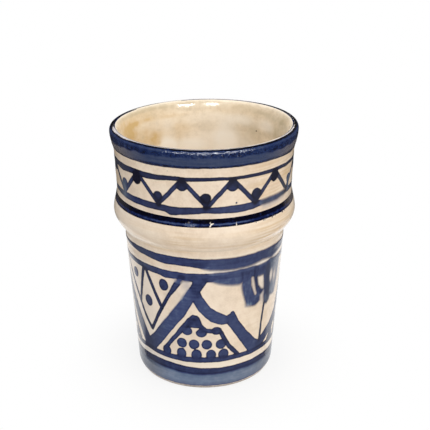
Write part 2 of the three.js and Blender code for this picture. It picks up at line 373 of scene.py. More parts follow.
def coat(name, face, relief, under):
    """A closed coat: its face stands off by relief, its back lies in the clay along the path under it."""
    back = evenly(under, BACK_STEP)[::-1]
    rows = [*turned_points(face, relief), *turned_points(back, GLAZE_THICKNESS)]
    return turned_mesh(name, rows, loop=True, shown=len(face))


# Painting

# Angles between which the front's shift fades out, and the depth of points far from any paint
SEEN_UP_TO = (75, 110)
FAR_OUT = 9.0


def on_true_turning(angle, height, radius):
    """Where points of the fuller wall show on a true turning, as the camera sees them. The paint is listed
    by its place on a true turning."""
    turn = np.radians(np.clip(angle, -SEEN_UP_TO[0], SEEN_UP_TO[0]))
    out = wall_fullness(height) * (1 - smooth(*SEEN_UP_TO, np.abs(angle)))
    around = np.degrees(out / radius * np.tan(turn))
    down = out * np.cos(turn) * math.tan(math.radians(CAMERA_DOWN))
    return angle + around, height - down


class Painting:
    """Cobalt on a stretch of the glaze. Each point has a number of each kind: cover, how deep it lies
    inside the paint in millimetres, below zero outside it; soft, how far the paint's edge is blurred there;
    amount, how much cobalt it has; hang, how far it has run down in streaks; dull, how grey the paint is,
    from the firing and towards the sides partly a painted reflection; wash, how blue-grey the glaze is,
    from blue that has run and in places painted shade and painted cool light; brown, how stained the glaze
    is; pale, how white the glaze is, in places a painted highlight and painted reflection."""

    KINDS = ("cover", "soft", "amount", "hang", "dull", "wash", "brown", "pale")

    def __init__(self, face):
        radius = np.maximum(face[:, :1], 1)
        angle, height = on_true_turning(*grid_of(face), radius)
        self.scale = np.radians(1) * np.broadcast_to(radius, angle.shape)
        self.angle = angle + BRUSH_WAVER * waver(angle, height, 60, seed=11) / self.scale
        self.height = height + BRUSH_WAVER * waver(angle, height, 50, seed=12)
        for kind in self.KINDS:
            setattr(self, kind, np.zeros(angle.shape))
        self.cover -= FAR_OUT
        self.soft += SHARP

    def across(self, angle):
        """Way round the pot from an angle, in millimetres."""
        return ((self.angle - angle + 180) % 360 - 180) * self.scale

    # Shapes, each as the depth of every point inside it

    def dot(self, angle, height, wide, tall=None):
        tall = wide if tall is None else tall
        away = np.hypot(self.across(angle) / wide, (self.height - height) / tall)
        return (1 - away) * min(wide, tall)

    def from_line(self, start, end):
        """How far along a straight line each point lies, as a share, and how far off it."""
        (a, h), (b, k) = start, end
        run, rise = (b - a) * self.scale, k - h
        x, y = self.across(a), self.height - h
        share = np.clip((x * run + y * rise) / (run**2 + rise**2), 0, 1)
        return share, np.hypot(x - share * run, y - share * rise)

    def stroke(self, points, widths):
        """A brush stroke along a line of points, with a half width at each one."""
        widths = widths if isinstance(widths, (list, tuple)) else [widths] * len(points)
        depth = np.full(self.angle.shape, -99.0)
        for start, end, w, v in zip(points, points[1:], widths, widths[1:]):
            share, off = self.from_line(start, end)
            depth = np.maximum(depth, w + (v - w) * share - off)
        return depth

    def patch(self, outline):
        """A filled shape inside an outline of points."""
        first = outline[0][0]
        from_first = self.across(first)
        nearest = np.full(self.angle.shape, 99.0)
        within = np.zeros(self.angle.shape, bool)
        for (a, h), (b, k) in zip(outline, [*outline[1:], outline[0]]):
            nearest = np.minimum(nearest, self.from_line((a, h), (b, k))[1])
            if k != h:
                crossing = (a - first + (b - a) * (self.height - h) / (k - h)) * self.scale
                within ^= ((h > self.height) != (k > self.height)) & (from_first < crossing)
        return np.where(within, nearest, -nearest)

    def ring(self, top, bottom):
        """A line round the pot between two heights."""
        return np.minimum(top - self.height, self.height - bottom)

    def band(self, edges):
        """A line round the pot through (angle, top, bottom) places."""
        at, *levels = zip(*edges)
        return self.ring(*(np.interp(self.angle, at, level, period=360) for level in levels))

    def turning(self, places):
        """A number that changes round the pot through (angle, value) places."""
        at, value = zip(*places)
        return np.interp(self.angle, at, value, period=360)

    # Work on the surface

    def add(self, depth, strength, soft=SHARP):
        """Lays paint. Where strokes cross, the thinner one darkens the other a little."""
        laid = strength * smooth(-1.0, 0.3, depth)
        self.amount = np.maximum(self.amount, laid) + CROSSING * np.minimum(self.amount, laid)
        self.soft = np.where(depth > self.cover, soft, self.soft)
        self.cover = np.maximum(self.cover, depth)

    def lift(self, depth, soft):
        """Takes paint off again."""
        self.soft = np.where(-depth < self.cover, soft, self.soft)
        self.cover = np.minimum(self.cover, -depth)

    def shade(self, depth, strength, reach):
        """Brings the paint to another strength, with a soft change of this reach."""
        self.amount += smooth(-reach, reach, depth) * (strength - self.amount)

    def soften(self, depth, soft, reach):
        """Blurs the edges that lie in a shape."""
        self.soft = np.maximum(self.soft, soft * smooth(-reach, reach, depth))

    def tint(self, kind, depth, strength, reach):
        """Adds hang, dull, wash, brown or pale."""
        setattr(self, kind, getattr(self, kind) + strength * smooth(-reach, reach, depth))

    def shade_dots(self, dots):
        """Shades in dots of (angle, height, half width, half height, strength, reach)."""
        for *place, strength, reach in dots:
            self.shade(self.dot(*place), strength, reach)

    def tint_dots(self, kinds):
        """Tints in such dots, listed by their kind."""
        for kind, dots in kinds.items():
            for *place, strength, reach in dots:
                self.tint(kind, self.dot(*place), strength, reach)

    def relief(self):
        return PAINT_RELIEF * smooth(*PAINT_RISES, self.cover)

    def put_on(self, piece):
        """Stores the numbers on a piece whose first points are the painted ones."""
        for kind in self.KINDS:
            values = getattr(self, kind).astype(np.float32).ravel()
            stored = np.full(len(piece.data.vertices), values.min(), np.float32)
            stored[: len(values)] = values
            piece.data.attributes.new(kind, "FLOAT", "POINT").data.foreach_set("value", stored)


# Frieze round the neck: lines as (angle, top, bottom), dots as (angle, height, radius, strength)

FRIEZE_LOW, FRIEZE_HIGH = 89.6, 100.9
ZIGZAG_HALF_WIDTH = 0.98
SEEN_LOW_BENDS = [-59.7, -28.9, 1.7, 32.3, 62.8]
SEEN_HIGH_BENDS = [-44.4, -13.3, 17.0, 47.8]
HIDDEN_BENDS = 8
UPPER_LINE = [
    (-66, 102.1, 99.3), (-60, 102.1, 98.9), (-55, 102.15, 99.4), (-48, 102.2, 99.45), (-35, 102.1, 99.4),
    (-30, 102.1, 99.75), (-20, 102.3, 100.3), (-10, 102.3, 100.5), (0, 102.3, 100.65),
    (10, 102.25, 100.7), (20, 102.1, 100.6), (30, 102.05, 100.5), (45, 102.1, 100.4), (60, 101.8, 100.1),
    (180, 101.9, 100.2),
]
LOWER_LINE = [
    (-70, 89.6, 87.2), (-55, 89.75, 86.7), (-45, 89.7, 86.6), (-35, 89.65, 86.6), (-25, 89.5, 86.5),
    (-21, 89.2, 85.4), (-18, 89.2, 85.4), (-15, 89.2, 85.85), (-10, 89.4, 86.25), (0, 89.6, 86.9),
    (10, 89.5, 86.55), (20, 89.7, 86.25), (30, 89.9, 86.55), (34.5, 89.85, 87.0), (38, 89.9, 87.1),
    (45, 90.0, 87.1), (50, 90.1, 87.2), (56, 90.0, 87.5), (180, 89.5, 87.0),
]
RIM_RUN = [
    (-70, 107, 105.8), (-20, 107, 105.85), (-8, 107, 106.1), (25, 107, 106.1), (40, 107, 106),
    (50, 107, 105.8), (57, 107, 105.5), (66, 107, 105.1), (90, 107, 105.7), (180, 107, 106),
]
LOWER_LINE_STRENGTH = [
    (-70, 0.6), (-59, 0.7), (-52, 1.1), (-48, 1.3), (-40, 1.2), (-25, 1.3), (0, 1.25), (8, 1.1),
    (30, 1.0), (35, 1.05), (38.5, 1.1), (50, 1.1), (62, 0.8), (100, 1.1), (-110, 1.1),
]
# How grey the frieze's paint has fired; towards the sides the grey is partly a painted reflection where the
# neck turns away.
NECK_DULL = [
    (-66, 0.8), (-53, 0.35), (-49, 0.0), (-43, 0.0), (-38, 0.2), (-20, 0.12), (0, 0.05), (10, 0.15),
    (35, 0.25), (40, 0.45), (46, 0.15), (50, 0.15), (62, 0.6), (100, 0.4), (-110, 0.4),
]
TOP_DOTS = [
    (-45.6, 98.0, 2.5, 1.7), (-13.4, 98.5, 2.35, 1.25), (17, 98.2, 2.5, 1.15), (48, 98.3, 2.35, 1.8),
]
BOTTOM_DOTS = [
    (-59, 93.5, 2.4, 0.6), (-29.1, 92.9, 2.1, 1.25), (0.7, 93.5, 2.2, 1.4), (33, 93.2, 2.3, 1.3),
    (66, 94.0, 2.0, 1.1),
]
HIDDEN_DOT = (2.2, 1.1)
TOP_DOT_INSET, BOTTOM_DOT_INSET = 2.7, 3.7
STEM_INSET, STEM_END = 0.35, 1.0
NECK_SPECKS = [(19.5, 90.6, 0.42), (-22, 104.3, 0.22), (4.5, 91.2, 0.2)]
NECK_SHADES = [(-65, 91.5, 6.5, 5.5, 0.5, 2.0), (67, 90, 4, 4, 0.5, 1.5), (70, 93.5, 4, 5, 0.35, 2)]
NECK_STAINS = {
    "wash": [(8, 95, 24, 6, 0.04, 3), (-60, 95, 10, 9, 0.06, 3)],
    "brown": [(72, 99, 9, 12, 0.6, 3), (-74, 97, 8, 12, 0.4, 3), (44, 97, 13, 14, 0.55, 6)],
}


def paint_frieze(paint):
    """Three lines, a zigzag between two of them and a dot in each of its bends."""
    paint.add(paint.band(RIM_RUN), 1.4)
    paint.add(paint.band(UPPER_LINE), 1.45)
    paint.add(paint.band(LOWER_LINE), paint.turning(LOWER_LINE_STRENGTH))
    hidden = np.linspace(SEEN_LOW_BENDS[-1], SEEN_LOW_BENDS[0] + 360, 2 * HIDDEN_BENDS + 1)
    bends = [bend for pair in zip(SEEN_LOW_BENDS, SEEN_HIGH_BENDS) for bend in pair]
    bends = [*bends, *hidden]
    for i, (start, end) in enumerate(zip(bends, bends[1:])):
        low, high = (FRIEZE_LOW, FRIEZE_HIGH) if i % 2 == 0 else (FRIEZE_HIGH, FRIEZE_LOW)
        paint.add(paint.stroke([(start, low), (end, high)], ZIGZAG_HALF_WIDTH), 1.2)
    hidden_top = [(angle, FRIEZE_HIGH - TOP_DOT_INSET, *HIDDEN_DOT) for angle in hidden[1::2]]
    hidden_bottom = [(angle, FRIEZE_LOW + BOTTOM_DOT_INSET, *HIDDEN_DOT) for angle in hidden[2:-2:2]]
    dots = [(*dot, FRIEZE_HIGH) for dot in (*TOP_DOTS, *hidden_top)]
    dots += [(*dot, FRIEZE_LOW) for dot in (*BOTTOM_DOTS, *hidden_bottom)]
    for angle, height, radius, strength, bend in dots:
        paint.add(paint.dot(angle, height, radius), strength)
        paint.add(paint.stroke([(angle, height), (angle, bend)], [radius - STEM_INSET, STEM_END]), strength)
    for speck in NECK_SPECKS:
        paint.add(paint.dot(*speck), 1.0)


def stain_and_shade_neck(paint):
    """Grey, thin and blurred paint at the sides, blue and ochre in the glaze, and painted shade in the
    hollow above the shoulder.
    """
    paint.dull = paint.turning(NECK_DULL)
    paint.tint("dull", paint.stroke([(53, 96.8), (62.8, 90)], 1.2), 0.5, 1.0)
    paint.tint("dull", paint.stroke([(41, 88), (62, 88)], 2.2), 0.35, 1.5)
    paint.shade_dots(NECK_SHADES)
    paint.soften(paint.dot(-64, 90, 5, 5), 0.4, 2.0)
    paint.soften(paint.stroke([(39, 88.5), (62, 88.5)], 2.2), 0.8, 0.8)
    # Painted shade: blue-grey in the hollow between the neck and the shoulder.
    paint.tint("wash", paint.ring(87.3, 83.0), 0.08, 0.5)
    paint.tint("wash", paint.stroke([(40, 87.2), (50, 87.3), (60, 87.6)], [1.3, 1.2, 0.8]), 0.4, 1.4)
    paint.tint_dots(NECK_STAINS)


# Panels round the wall: lines as (angle, top, bottom), outlines and strokes as (angle, height) points

WAIST_LINE = [
    (-70, 64.8, 63.0), (-60, 65.45, 62.9), (-50, 65.6, 62.5), (-40, 65.6, 62.1), (-30, 65.6, 61.4),
    (-20, 65.6, 61.6), (-10, 65.6, 61.45), (-5, 65.4, 61.1), (0, 65.2, 60.2), (4, 65.2, 59.7),
    (11, 65.2, 59.4), (23, 65.0, 59.1), (35, 65.0, 59.15), (45, 65.0, 60.0), (50, 64.9, 59.6),
    (55, 64.8, 58.9), (62, 64.5, 59.4), (75, 64.2, 60.6), (110, 65.1, 61.5), (180, 65.3, 62.0),
]
WAIST_STRENGTH = [
    (-70, 0.75), (-50, 0.8), (-40, 1.0), (-30, 1.05), (-5, 1.2), (2, 1.25), (24, 1.45), (46, 1.4),
    (58, 1.1), (80, 1.0), (120, 1.05), (-120, 1.05),
]
WAIST_SOFT = [(-8, SHARP), (4, 0.4), (60, 0.5), (90, SHARP)]
WAIST_RUN = [
    (-5, 60.3, 60.3), (4, 61.5, 59.3), (30, 61.7, 59.3), (60, 61.5, 59.3), (75, 60.3, 60.3),
    (180, 60, 60),
]
PANEL_TOP = [
    (-75, 58.3, 56.1), (-55, 58.6, 55.9), (-42, 58.6, 55.5), (-34, 58.6, 55.3), (-29, 58.5, 54.7),
    (-20, 58.5, 55.0), (-15, 58.4, 54.3), (-5, 58.5, 54.5), (5, 58.5, 54.2), (10, 58.75, 52.9),
    (15, 58.8, 52.2), (20, 58.9, 51.6), (26, 58.95, 51.4), (31, 58.95, 52.6), (36, 58.9, 53.6),
    (42, 58.5, 54.4), (50, 58.5, 54.8), (55, 59.1, 55.0), (62, 58.2, 55.3), (180, 58.4, 55.8),
]
PANEL_TOP_STRENGTH = [
    (-70, 0.6), (-50, 0.62), (-36, 1.05), (-10, 1.05), (5, 1.12), (15, 1.2), (26, 1.2), (40, 1.15),
    (55, 1.0), (75, 0.9), (100, 1.0), (-110, 1.0),
]
PANEL_TOP_SOFT = [(0, SHARP), (12, 0.35), (30, 0.4), (65, 0.5), (90, SHARP)]
PANEL_TOP_EDGE_RUN = [(0, 58, 58), (6, 59, 57.3), (60, 59, 57.3), (72, 58, 58)]
PANEL_RUN = [
    (3, 54, 54), (9, 55, 52), (18, 55, 49.5), (28, 55, 49.5), (34, 55, 51), (38, 54, 54), (180, 54, 54),
]
PANEL_BOTTOM = [
    (-64, 16.9, 14.3), (-52, 16.9, 14.9), (-40, 16.9, 14.4), (-20, 16.8, 14.0), (0, 16.8, 13.95),
    (20, 16.8, 14.2), (40, 16.8, 14.4), (64, 16.8, 14.3),
]
BASE_DARK = [
    (-180, 11.3, 7.8), (-64, 11.9, 9.3), (-45, 12.6, 8.9), (-30, 12.35, 8.65), (-20, 11.9, 8.2),
    (-10, 11.45, 7.8), (0, 11.1, 7.7), (10, 11.1, 8.0), (20, 11.15, 8.3), (45, 11.4, 8.4),
    (64, 11.25, 8.5),
]
BASE_WASH = [
    (-180, 8.6, 1.4), (-60, 9.8, 1.7), (-30, 9.2, 1.6), (-8, 8.5, 1.6), (0, 8.4, 1.6), (20, 9.0, 1.6),
    (60, 9.1, 1.7),
]
BASE_WASH_STRENGTH = [
    (-90, 0.42), (-62, 0.5), (-50, 0.38), (-38, 0.36), (-25, 0.42), (-15, 0.46), (14, 0.42), (24, 0.38),
    (38, 0.36), (50, 0.42), (62, 0.5), (180, 0.42),
]
# How grey the wall's paint has fired; towards the sides the grey is partly a painted reflection where the
# wall turns away.
WALL_DULL = [
    (-64, 0.65), (-50, 0.6), (-30, 0), (0, 0.05), (10, 0.15), (28, 0.2), (40, 0.25), (50, 0.4), (64, 0.6),
    (100, 0.15),
]

FRONT_LEFT_LEG = [
    (-49.8, 21.8), (-43.6, 25), (-37.3, 30), (-30.6, 35), (-24.2, 40), (-18.3, 45), (-12.9, 50),
    (-9.1, 53.2), (-9, 56), (1.5, 56), (1.5, 54.5), (-3.0, 49.8), (-5.5, 46), (-8.5, 44.6), (-13, 40),
    (-15.3, 37.5), (-18.4, 35), (-25, 30), (-31.4, 25), (-38.1, 20), (-42, 17.5), (-43, 16), (-57, 16),
]
FRONT_RIGHT_UPPER = [
    (-10, 53), (1.5, 54.5), (-3.2, 49.8), (-2, 47.5), (0, 45.5), (4, 42), (10, 39.5), (16, 37.5),
    (18.8, 38.3), (20.5, 36), (16.5, 33.2), (12, 33), (4, 34.8), (-0.2, 37.2), (-5, 40.5), (-8.5, 44.5),
]
FRONT_RIGHT_LOWER = [
    (19.5, 39), (21.5, 39.3), (22.8, 38.2), (26, 34), (33, 28), (43, 21.5), (48.5, 19.5), (53, 16),
    (36, 16), (35, 17.3), (27, 24), (20, 30.5), (16.5, 33.2), (17, 36.5),
]
FRONT_SHADES = [
    (-5, 51, 2.6, 4, 1.3, 2.0), (19, 36, 1.6, 2, 1.3, 1.5), (29, 28, 8, 10, 0.95, 4),
    (-8, 53.5, 4, 3, 1.15, 1.5),
]
FRONT_CORE_LINES = [
    (
        [(-11, 35.5), (-18.6, 30), (-22.7, 27), (-25.3, 25), (-29.3, 22), (-33, 19)],
        [1.6, 1.25, 1.0, 0.95, 0.95, 1.2],
    ),
    ([(-6, 36.5), (-4.2, 33), (0, 30.6), (6, 30)], [1.2, 1.2, 1.1, 1.1]),
    ([(10, 31), (12.2, 29), (13.7, 27), (18.3, 22), (21.2, 20), (26, 16.8)], [1, 1, 1, 1, 1.05, 1]),
]
FRONT_CORE_TOP = [(-14, 31.8), (-11.6, 37.5), (-9.4, 38.5), (-5.4, 38), (-4.4, 35), (-2.5, 31.8)]
FRONT_DOTS = [
    (-14, 30, 2.4, 2.2), (-3, 29.3, 2.4, 2.2), (8.5, 30.2, 2.4, 2.0), (-18.3, 23.7, 2.35, 2.5),
    (-8.7, 23.4, 2.3, 2.5), (1.1, 23.4, 2.35, 2.5), (12.1, 23.3, 2.35, 2.5), (-31.8, 18.3, 2.2, 2.4),
    (-19, 18.2, 2.2, 2.8), (-7, 18.0, 2.3, 2.9), (4.5, 18.0, 2.25, 2.8), (14.3, 18.0, 2.4, 2.7),
]
SMEAR = [
    (26.4, 57), (26.6, 53), (27.4, 49), (28.4, 46.5), (30.7, 42), (31.3, 39.8), (38.2, 38.8), (41, 38.8),
    (45.4, 40.4), (45.4, 43), (48.8, 44.6), (49, 41), (49.9, 37.4), (54.5, 36.6), (57.8, 38.2),
    (58.8, 40), (62, 39.5), (66, 39.6), (69, 44), (71, 50), (73, 57),
]
SMEAR_GAP = [(41.4, 52.6), (46.9, 52.4), (48, 49), (48.8, 45.7), (46.2, 46.2), (42.8, 48.7)]
SMEAR_FADED = [(55, 57), (57, 46), (59, 38), (75, 38), (75, 57)]
SMEAR_STRANDS = [
    ([(39.3, 57.5), (40.2, 51), (42.3, 47), (45.5, 44.4)], [1.1, 1.1, 1.0, 0.7], 1.65, 0.6),
    ([(38.7, 40.4), (41, 40.6), (44, 41.8)], [1.0, 1.3, 1.2], 1.45, 0.7),
    ([(51.8, 57.5), (51.6, 47), (52, 43)], [1.1, 0.9, 1.0], 1.4, 0.7),
    ([(51.6, 41), (53, 39), (56, 38.2)], [1.2, 1.2, 0.8], 0.95, 0.7),
    ([(33, 40), (36, 40.3)], 0.8, 0.7, 1.0),
]
SMEAR_STAINS = {
    "wash": [(38, 50, 3, 7, 0.25, 1.5), (47.5, 42, 2, 3.5, 0.3, 1.5), (60, 48, 8, 9, 0.3, 3.0)],
    "pale": [(46, 50, 4, 4, 0.4, 2.0), (58, 50, 2, 4, 0.5, 2.0)],
}

RIGHT_TENT_LEG = [(43, 18), (22, 37), (4, 53)]
LEFT_TENT_LEG = [(-43, 18), (-22, 37), (-4, 53)]
BENT_TENT_LEG = [(-42, 18.3), (-36, 20.4), (-27, 23.4), (-16, 29), (-8, 40), (-2, 53)]
TENT_CORE = [(29, 17), (14, 29), (2, 37)]
TENT_DOTS = [
    (-4.5, 30), (5, 30), (-13, 23.6), (-4, 23.6), (5, 23.6), (14, 23.6), (-24, 18.1), (-13, 18.1),
    (-2, 18.1), (9, 18.1), (20, 18.1),
]
HIDDEN_TENTS = [(91, 1, BENT_TENT_LEG), (178, -1, LEFT_TENT_LEG), (264.8, 1, LEFT_TENT_LEG)]
FRONT_CHEVRON = (-46.5, 1)
HIDDEN_CHEVRONS = [(134.5, 1), (222, -1)]
SHOULDER_SPOTS = [(32.5, 0.3), (38.2, 0.45), (39.6, 0.3), (45.8, 0.55), (49, 0.3), (56.5, 0.6), (59.5, 0.4)]


def paint_front_tent(paint):
    """Two broad legs, the right one in two slipped strokes, a thin core and rows of dots."""
    for outline in (FRONT_LEFT_LEG, FRONT_RIGHT_UPPER, FRONT_RIGHT_LOWER):
        paint.add(paint.patch(outline), 0.82)
    paint.shade_dots(FRONT_SHADES)
    paint.soften(paint.stroke([(-12, 51), (-24, 40.5), (-36, 31.5)], 0.8), 0.45, 0.6)
    paint.add(paint.patch(FRONT_CORE_TOP), 1.05)
    for points, widths in FRONT_CORE_LINES:
        paint.add(paint.stroke(points, widths), 1.05)
    for dot in FRONT_DOTS:
        paint.add(paint.dot(*dot), 1.0)
    paint.tint("brown", paint.dot(3.5, 31.6, 0.6, 0.5), 0.7, 0.3)


def paint_hidden_tent(paint, middle, mirror, left_leg):
    """A tent drawn as the front one was meant: two broad legs, a thin core and rows of dots."""
    def spots(points, side=1):
        return [(middle + mirror * side * angle, height) for angle, height in points]

    paint.add(paint.stroke(spots(left_leg), 2.6), 0.86)
    paint.add(paint.stroke(spots(RIGHT_TENT_LEG), [3.1, 3.3, 3.0]), 0.86)
    for side in (-1, 1):
        paint.add(paint.stroke(spots(TENT_CORE, side), [1.2, 1.3, 1.4]), 1.0)
    for angle, height in spots(TENT_DOTS):
        paint.add(paint.dot(angle, height, 2.3, 2.4), 0.95)


def paint_chevron(paint, middle, mirror):
    """Thin hanging triangle between two tents, split by a peak, with three dots."""
    def spots(*points):
        return [(middle + mirror * angle, height) for angle, height in points]

    left_line = spots((-30, 55.5), (-21.5, 47), (-12.3, 38.5), (-6.7, 32.5), (-3.75, 30), (0.8, 26.7))
    paint.add(paint.stroke(left_line, 0.9), 1.05)
    right_line = spots((29.5, 55.8), (26.6, 53), (23.3, 50), (20, 47), (13.2, 40), (3.9, 30), (0.8, 26.7))
    paint.add(paint.stroke(right_line, [1.5, 1.4, 1.25, 0.87, 0.87, 0.8, 0.9]), 1.2)
    paint.add(paint.stroke(spots((-3.5, 56), (-11.5, 38.3)), [1.0, 0.85]), 1.1)
    paint.add(paint.stroke(spots((-1, 55.8), (12.5, 39.3)), [0.95, 0.9]), 1.15)
    paint.add(paint.dot(middle - mirror * 15.5, 51.2, 2.3, 2.4), 1.0)
    paint.add(paint.dot(middle + mirror * 15.3, 50.9, 2.3, 2.9), 1.2)
    paint.add(paint.dot(middle - mirror * 0.5, 40.5, 2.4, 2.7), 0.9)


def paint_smeared_chevron(paint):
    """The triangle on the right ran in the firing: loose hanging strokes, and one thin upright line."""
    paint.add(paint.patch(SMEAR), 1.25, soft=0.85)
    paint.tint("hang", paint.patch(SMEAR), 1.0, 1.0)
    thin_gap = [(36.4, 53.0), (37.2, 50), (39.0, 46.5), (40.3, 44.6)]
    paint.lift(paint.stroke(thin_gap, [0.55, 0.8, 0.55, 0.4]), soft=0.6)
    paint.soften(paint.stroke([(35.3, 54.5), (36.2, 49)], 0.6), 1.0, 0.5)
    paint.lift(paint.patch(SMEAR_GAP), soft=0.65)
    paint.soften(paint.dot(33, 40, 3.2, 2), 1.2, 1.0)
    paint.soften(paint.stroke([(42, 53.6), (47.5, 53.6)], 0.8), 1.2, 0.6)
    paint.lift(paint.dot(57.9, 50, 1.1, 2.8), soft=0.8)
    paint.lift(paint.dot(63.5, 49, 1.0, 2.2), soft=1.4)
    paint.shade(paint.stroke([(46.5, 43), (49, 43.5)], 1.2), 0.6, 1.0)
    paint.shade(paint.patch(SMEAR_FADED), 0.65, 2.0)
    for points, widths, strength, reach in SMEAR_STRANDS:
        paint.shade(paint.stroke(points, widths), strength, reach)
    thin_line = [(50.8, 38), (49.8, 33), (48.8, 28), (48.2, 20)]
    paint.add(paint.stroke(thin_line, [0.75, 0.7, 0.65, 0.8]), 1.1, soft=0.25)
    paint.tint("dull", paint.stroke([(52.5, 55), (53, 46), (55, 38)], 1.8), 0.25, 1.5)
    paint.tint("dull", paint.stroke(thin_line, 0.6), 0.4, 0.8)
    paint.tint_dots(SMEAR_STAINS)


def paint_panels(paint):
    """Lines round the wall, base band, tents, hanging triangles and spots under the shoulder line."""
    paint.add(paint.band(WAIST_LINE), paint.turning(WAIST_STRENGTH), paint.turning(WAIST_SOFT))
    paint.add(paint.band(PANEL_TOP), paint.turning(PANEL_TOP_STRENGTH), paint.turning(PANEL_TOP_SOFT))
    paint.soften(paint.band(WAIST_RUN), 1.1, 0.4)
    paint.soften(paint.band(PANEL_TOP_EDGE_RUN), 0.6, 0.4)
    paint.soften(paint.band(PANEL_RUN), 1.15, 1.0)
    paint.tint("hang", paint.band(PANEL_RUN), 0.3, 1.0)
    paint.add(paint.band(PANEL_BOTTOM), 1.05)
    paint.add(paint.band(BASE_WASH), paint.turning(BASE_WASH_STRENGTH))
    paint.add(paint.band(BASE_DARK), 1.2)
    paint.shade(paint.ring(3.2, 0), 0.6, 1.2)
    paint.dull = paint.turning(WALL_DULL)
    paint_smeared_chevron(paint)
    paint_front_tent(paint)
    paint_chevron(paint, *FRONT_CHEVRON)
    paint.soften(paint.stroke([(-21, 54.2), (-12, 53.8), (-18, 46)], 1.0), 1.0, 0.6)
    paint.tint("dull", paint.dot(-62, 51.2, 2.3), -0.25, 0.5)
    for tent in HIDDEN_TENTS:
        paint_hidden_tent(paint, *tent)
    for chevron in HIDDEN_CHEVRONS:
        paint_chevron(paint, *chevron)
    paint.shade(paint.dot(-68, 30, 6, 16), 0.6, 4)
    for angle, size in SHOULDER_SPOTS:
        paint.add(paint.dot(angle, SHOULDER_LINE[0], size, 0.45), 1.5, soft=0.2)


SHOULDER_STREAK = [
    (-60, 0.2), (-45, 0.6), (-12, 0.6), (0, 0.3), (12, 0.2), (25, 0.6), (45, 0.6), (64, 0.3), (180, 0.4),
]
# Painted light round the shoulder: how much whiter the glaze is made, most towards the sides, where it
# stands for a reflection.
SHOULDER_PAINTED_LIGHT = [
    (-64, 0.45), (-50, 0.25), (-32, 0.15), (-20, 0.0), (-5, 0.08), (10, 0.18), (35, 0.2), (50, 0.32),
    (64, 0.45), (180, 0.3),
]
PANEL_PALE = [(-70, 0.0), (-40, 0.0), (-20, 0.25), (10, 0.15), (30, 0.05), (180, 0.1)]
WALL_RINGS = [
    ("brown", 74.5, 70.5, 0.42, 1.5), ("brown", 79.5, 76.5, 0.22, 1.5), ("pale", 66.1, 65.4, 0.35, 0.3),
    ("pale", 14.4, 11.2, 0.5, 0.4),
]
# The wash and pale dots on the lower left, from -60 to -52 degrees, are painted cool light.
WALL_STAINS_AND_LIGHT = {
    "brown": [
        (-13, 72.5, 7, 3, 0.35, 3), (-17, 77, 9, 3, 0.3, 3), (52, 75, 14, 8, 0.6, 5),
        (42, 34, 10, 16, 0.12, 6),
    ],
    "wash": [
        (-60, 40, 11, 20, 0.07, 5), (-14, 48, 6, 6, 0.08, 3), (-12.5, 53, 2.2, 3, 0.3, 2),
        (-52, 13, 14, 4, 0.15, 3), (-14, 24, 12, 9, 0.05, 4),
    ],
    "pale": [(-54, 13, 12, 3, 0.4, 2), (-56, 38, 12, 20, 0.55, 4)],
}
GAP_HEIGHT = 59


def stain_and_light_wall(paint):
    """Ochre brushed under the shoulder, painted cool light on the lower left, painted light round the
    shoulder, white beside the lines.
    """
    def gap(above, below):
        middle, edges = (GAP_HEIGHT, GAP_HEIGHT), (GAP_HEIGHT + above, GAP_HEIGHT - below)
        return paint.band([(-2, *middle), (5, *edges), (60, *edges), (70, *middle)])

    paint.tint("brown", paint.ring(68.4, 67.5), paint.turning(SHOULDER_STREAK), 0.6)
    # Painted light and reflection round the shoulder, as whiter glaze.
    paint.tint("pale", paint.ring(82, 67), paint.turning(SHOULDER_PAINTED_LIGHT), 2.0)
    paint.tint("pale", paint.ring(58, 17), paint.turning(PANEL_PALE), 2.0)
    paint.tint("wash", paint.stroke([(-23, 54), (-29, 46.5)], 1.4), 0.16, 1.5)
    paint.tint("wash", gap(1.5, 1.3), 0.12, 0.5)
    paint.tint("pale", gap(1, 1), 0.7, 0.5)
    for kind, top, bottom, strength, reach in WALL_RINGS:
        paint.tint(kind, paint.ring(top, bottom), strength, reach)
    paint.tint_dots(WALL_STAINS_AND_LIGHT)
    paint.pale = np.minimum(paint.pale, 1)


# Materials

NOISE_RANGE = (0.3, 0.7)


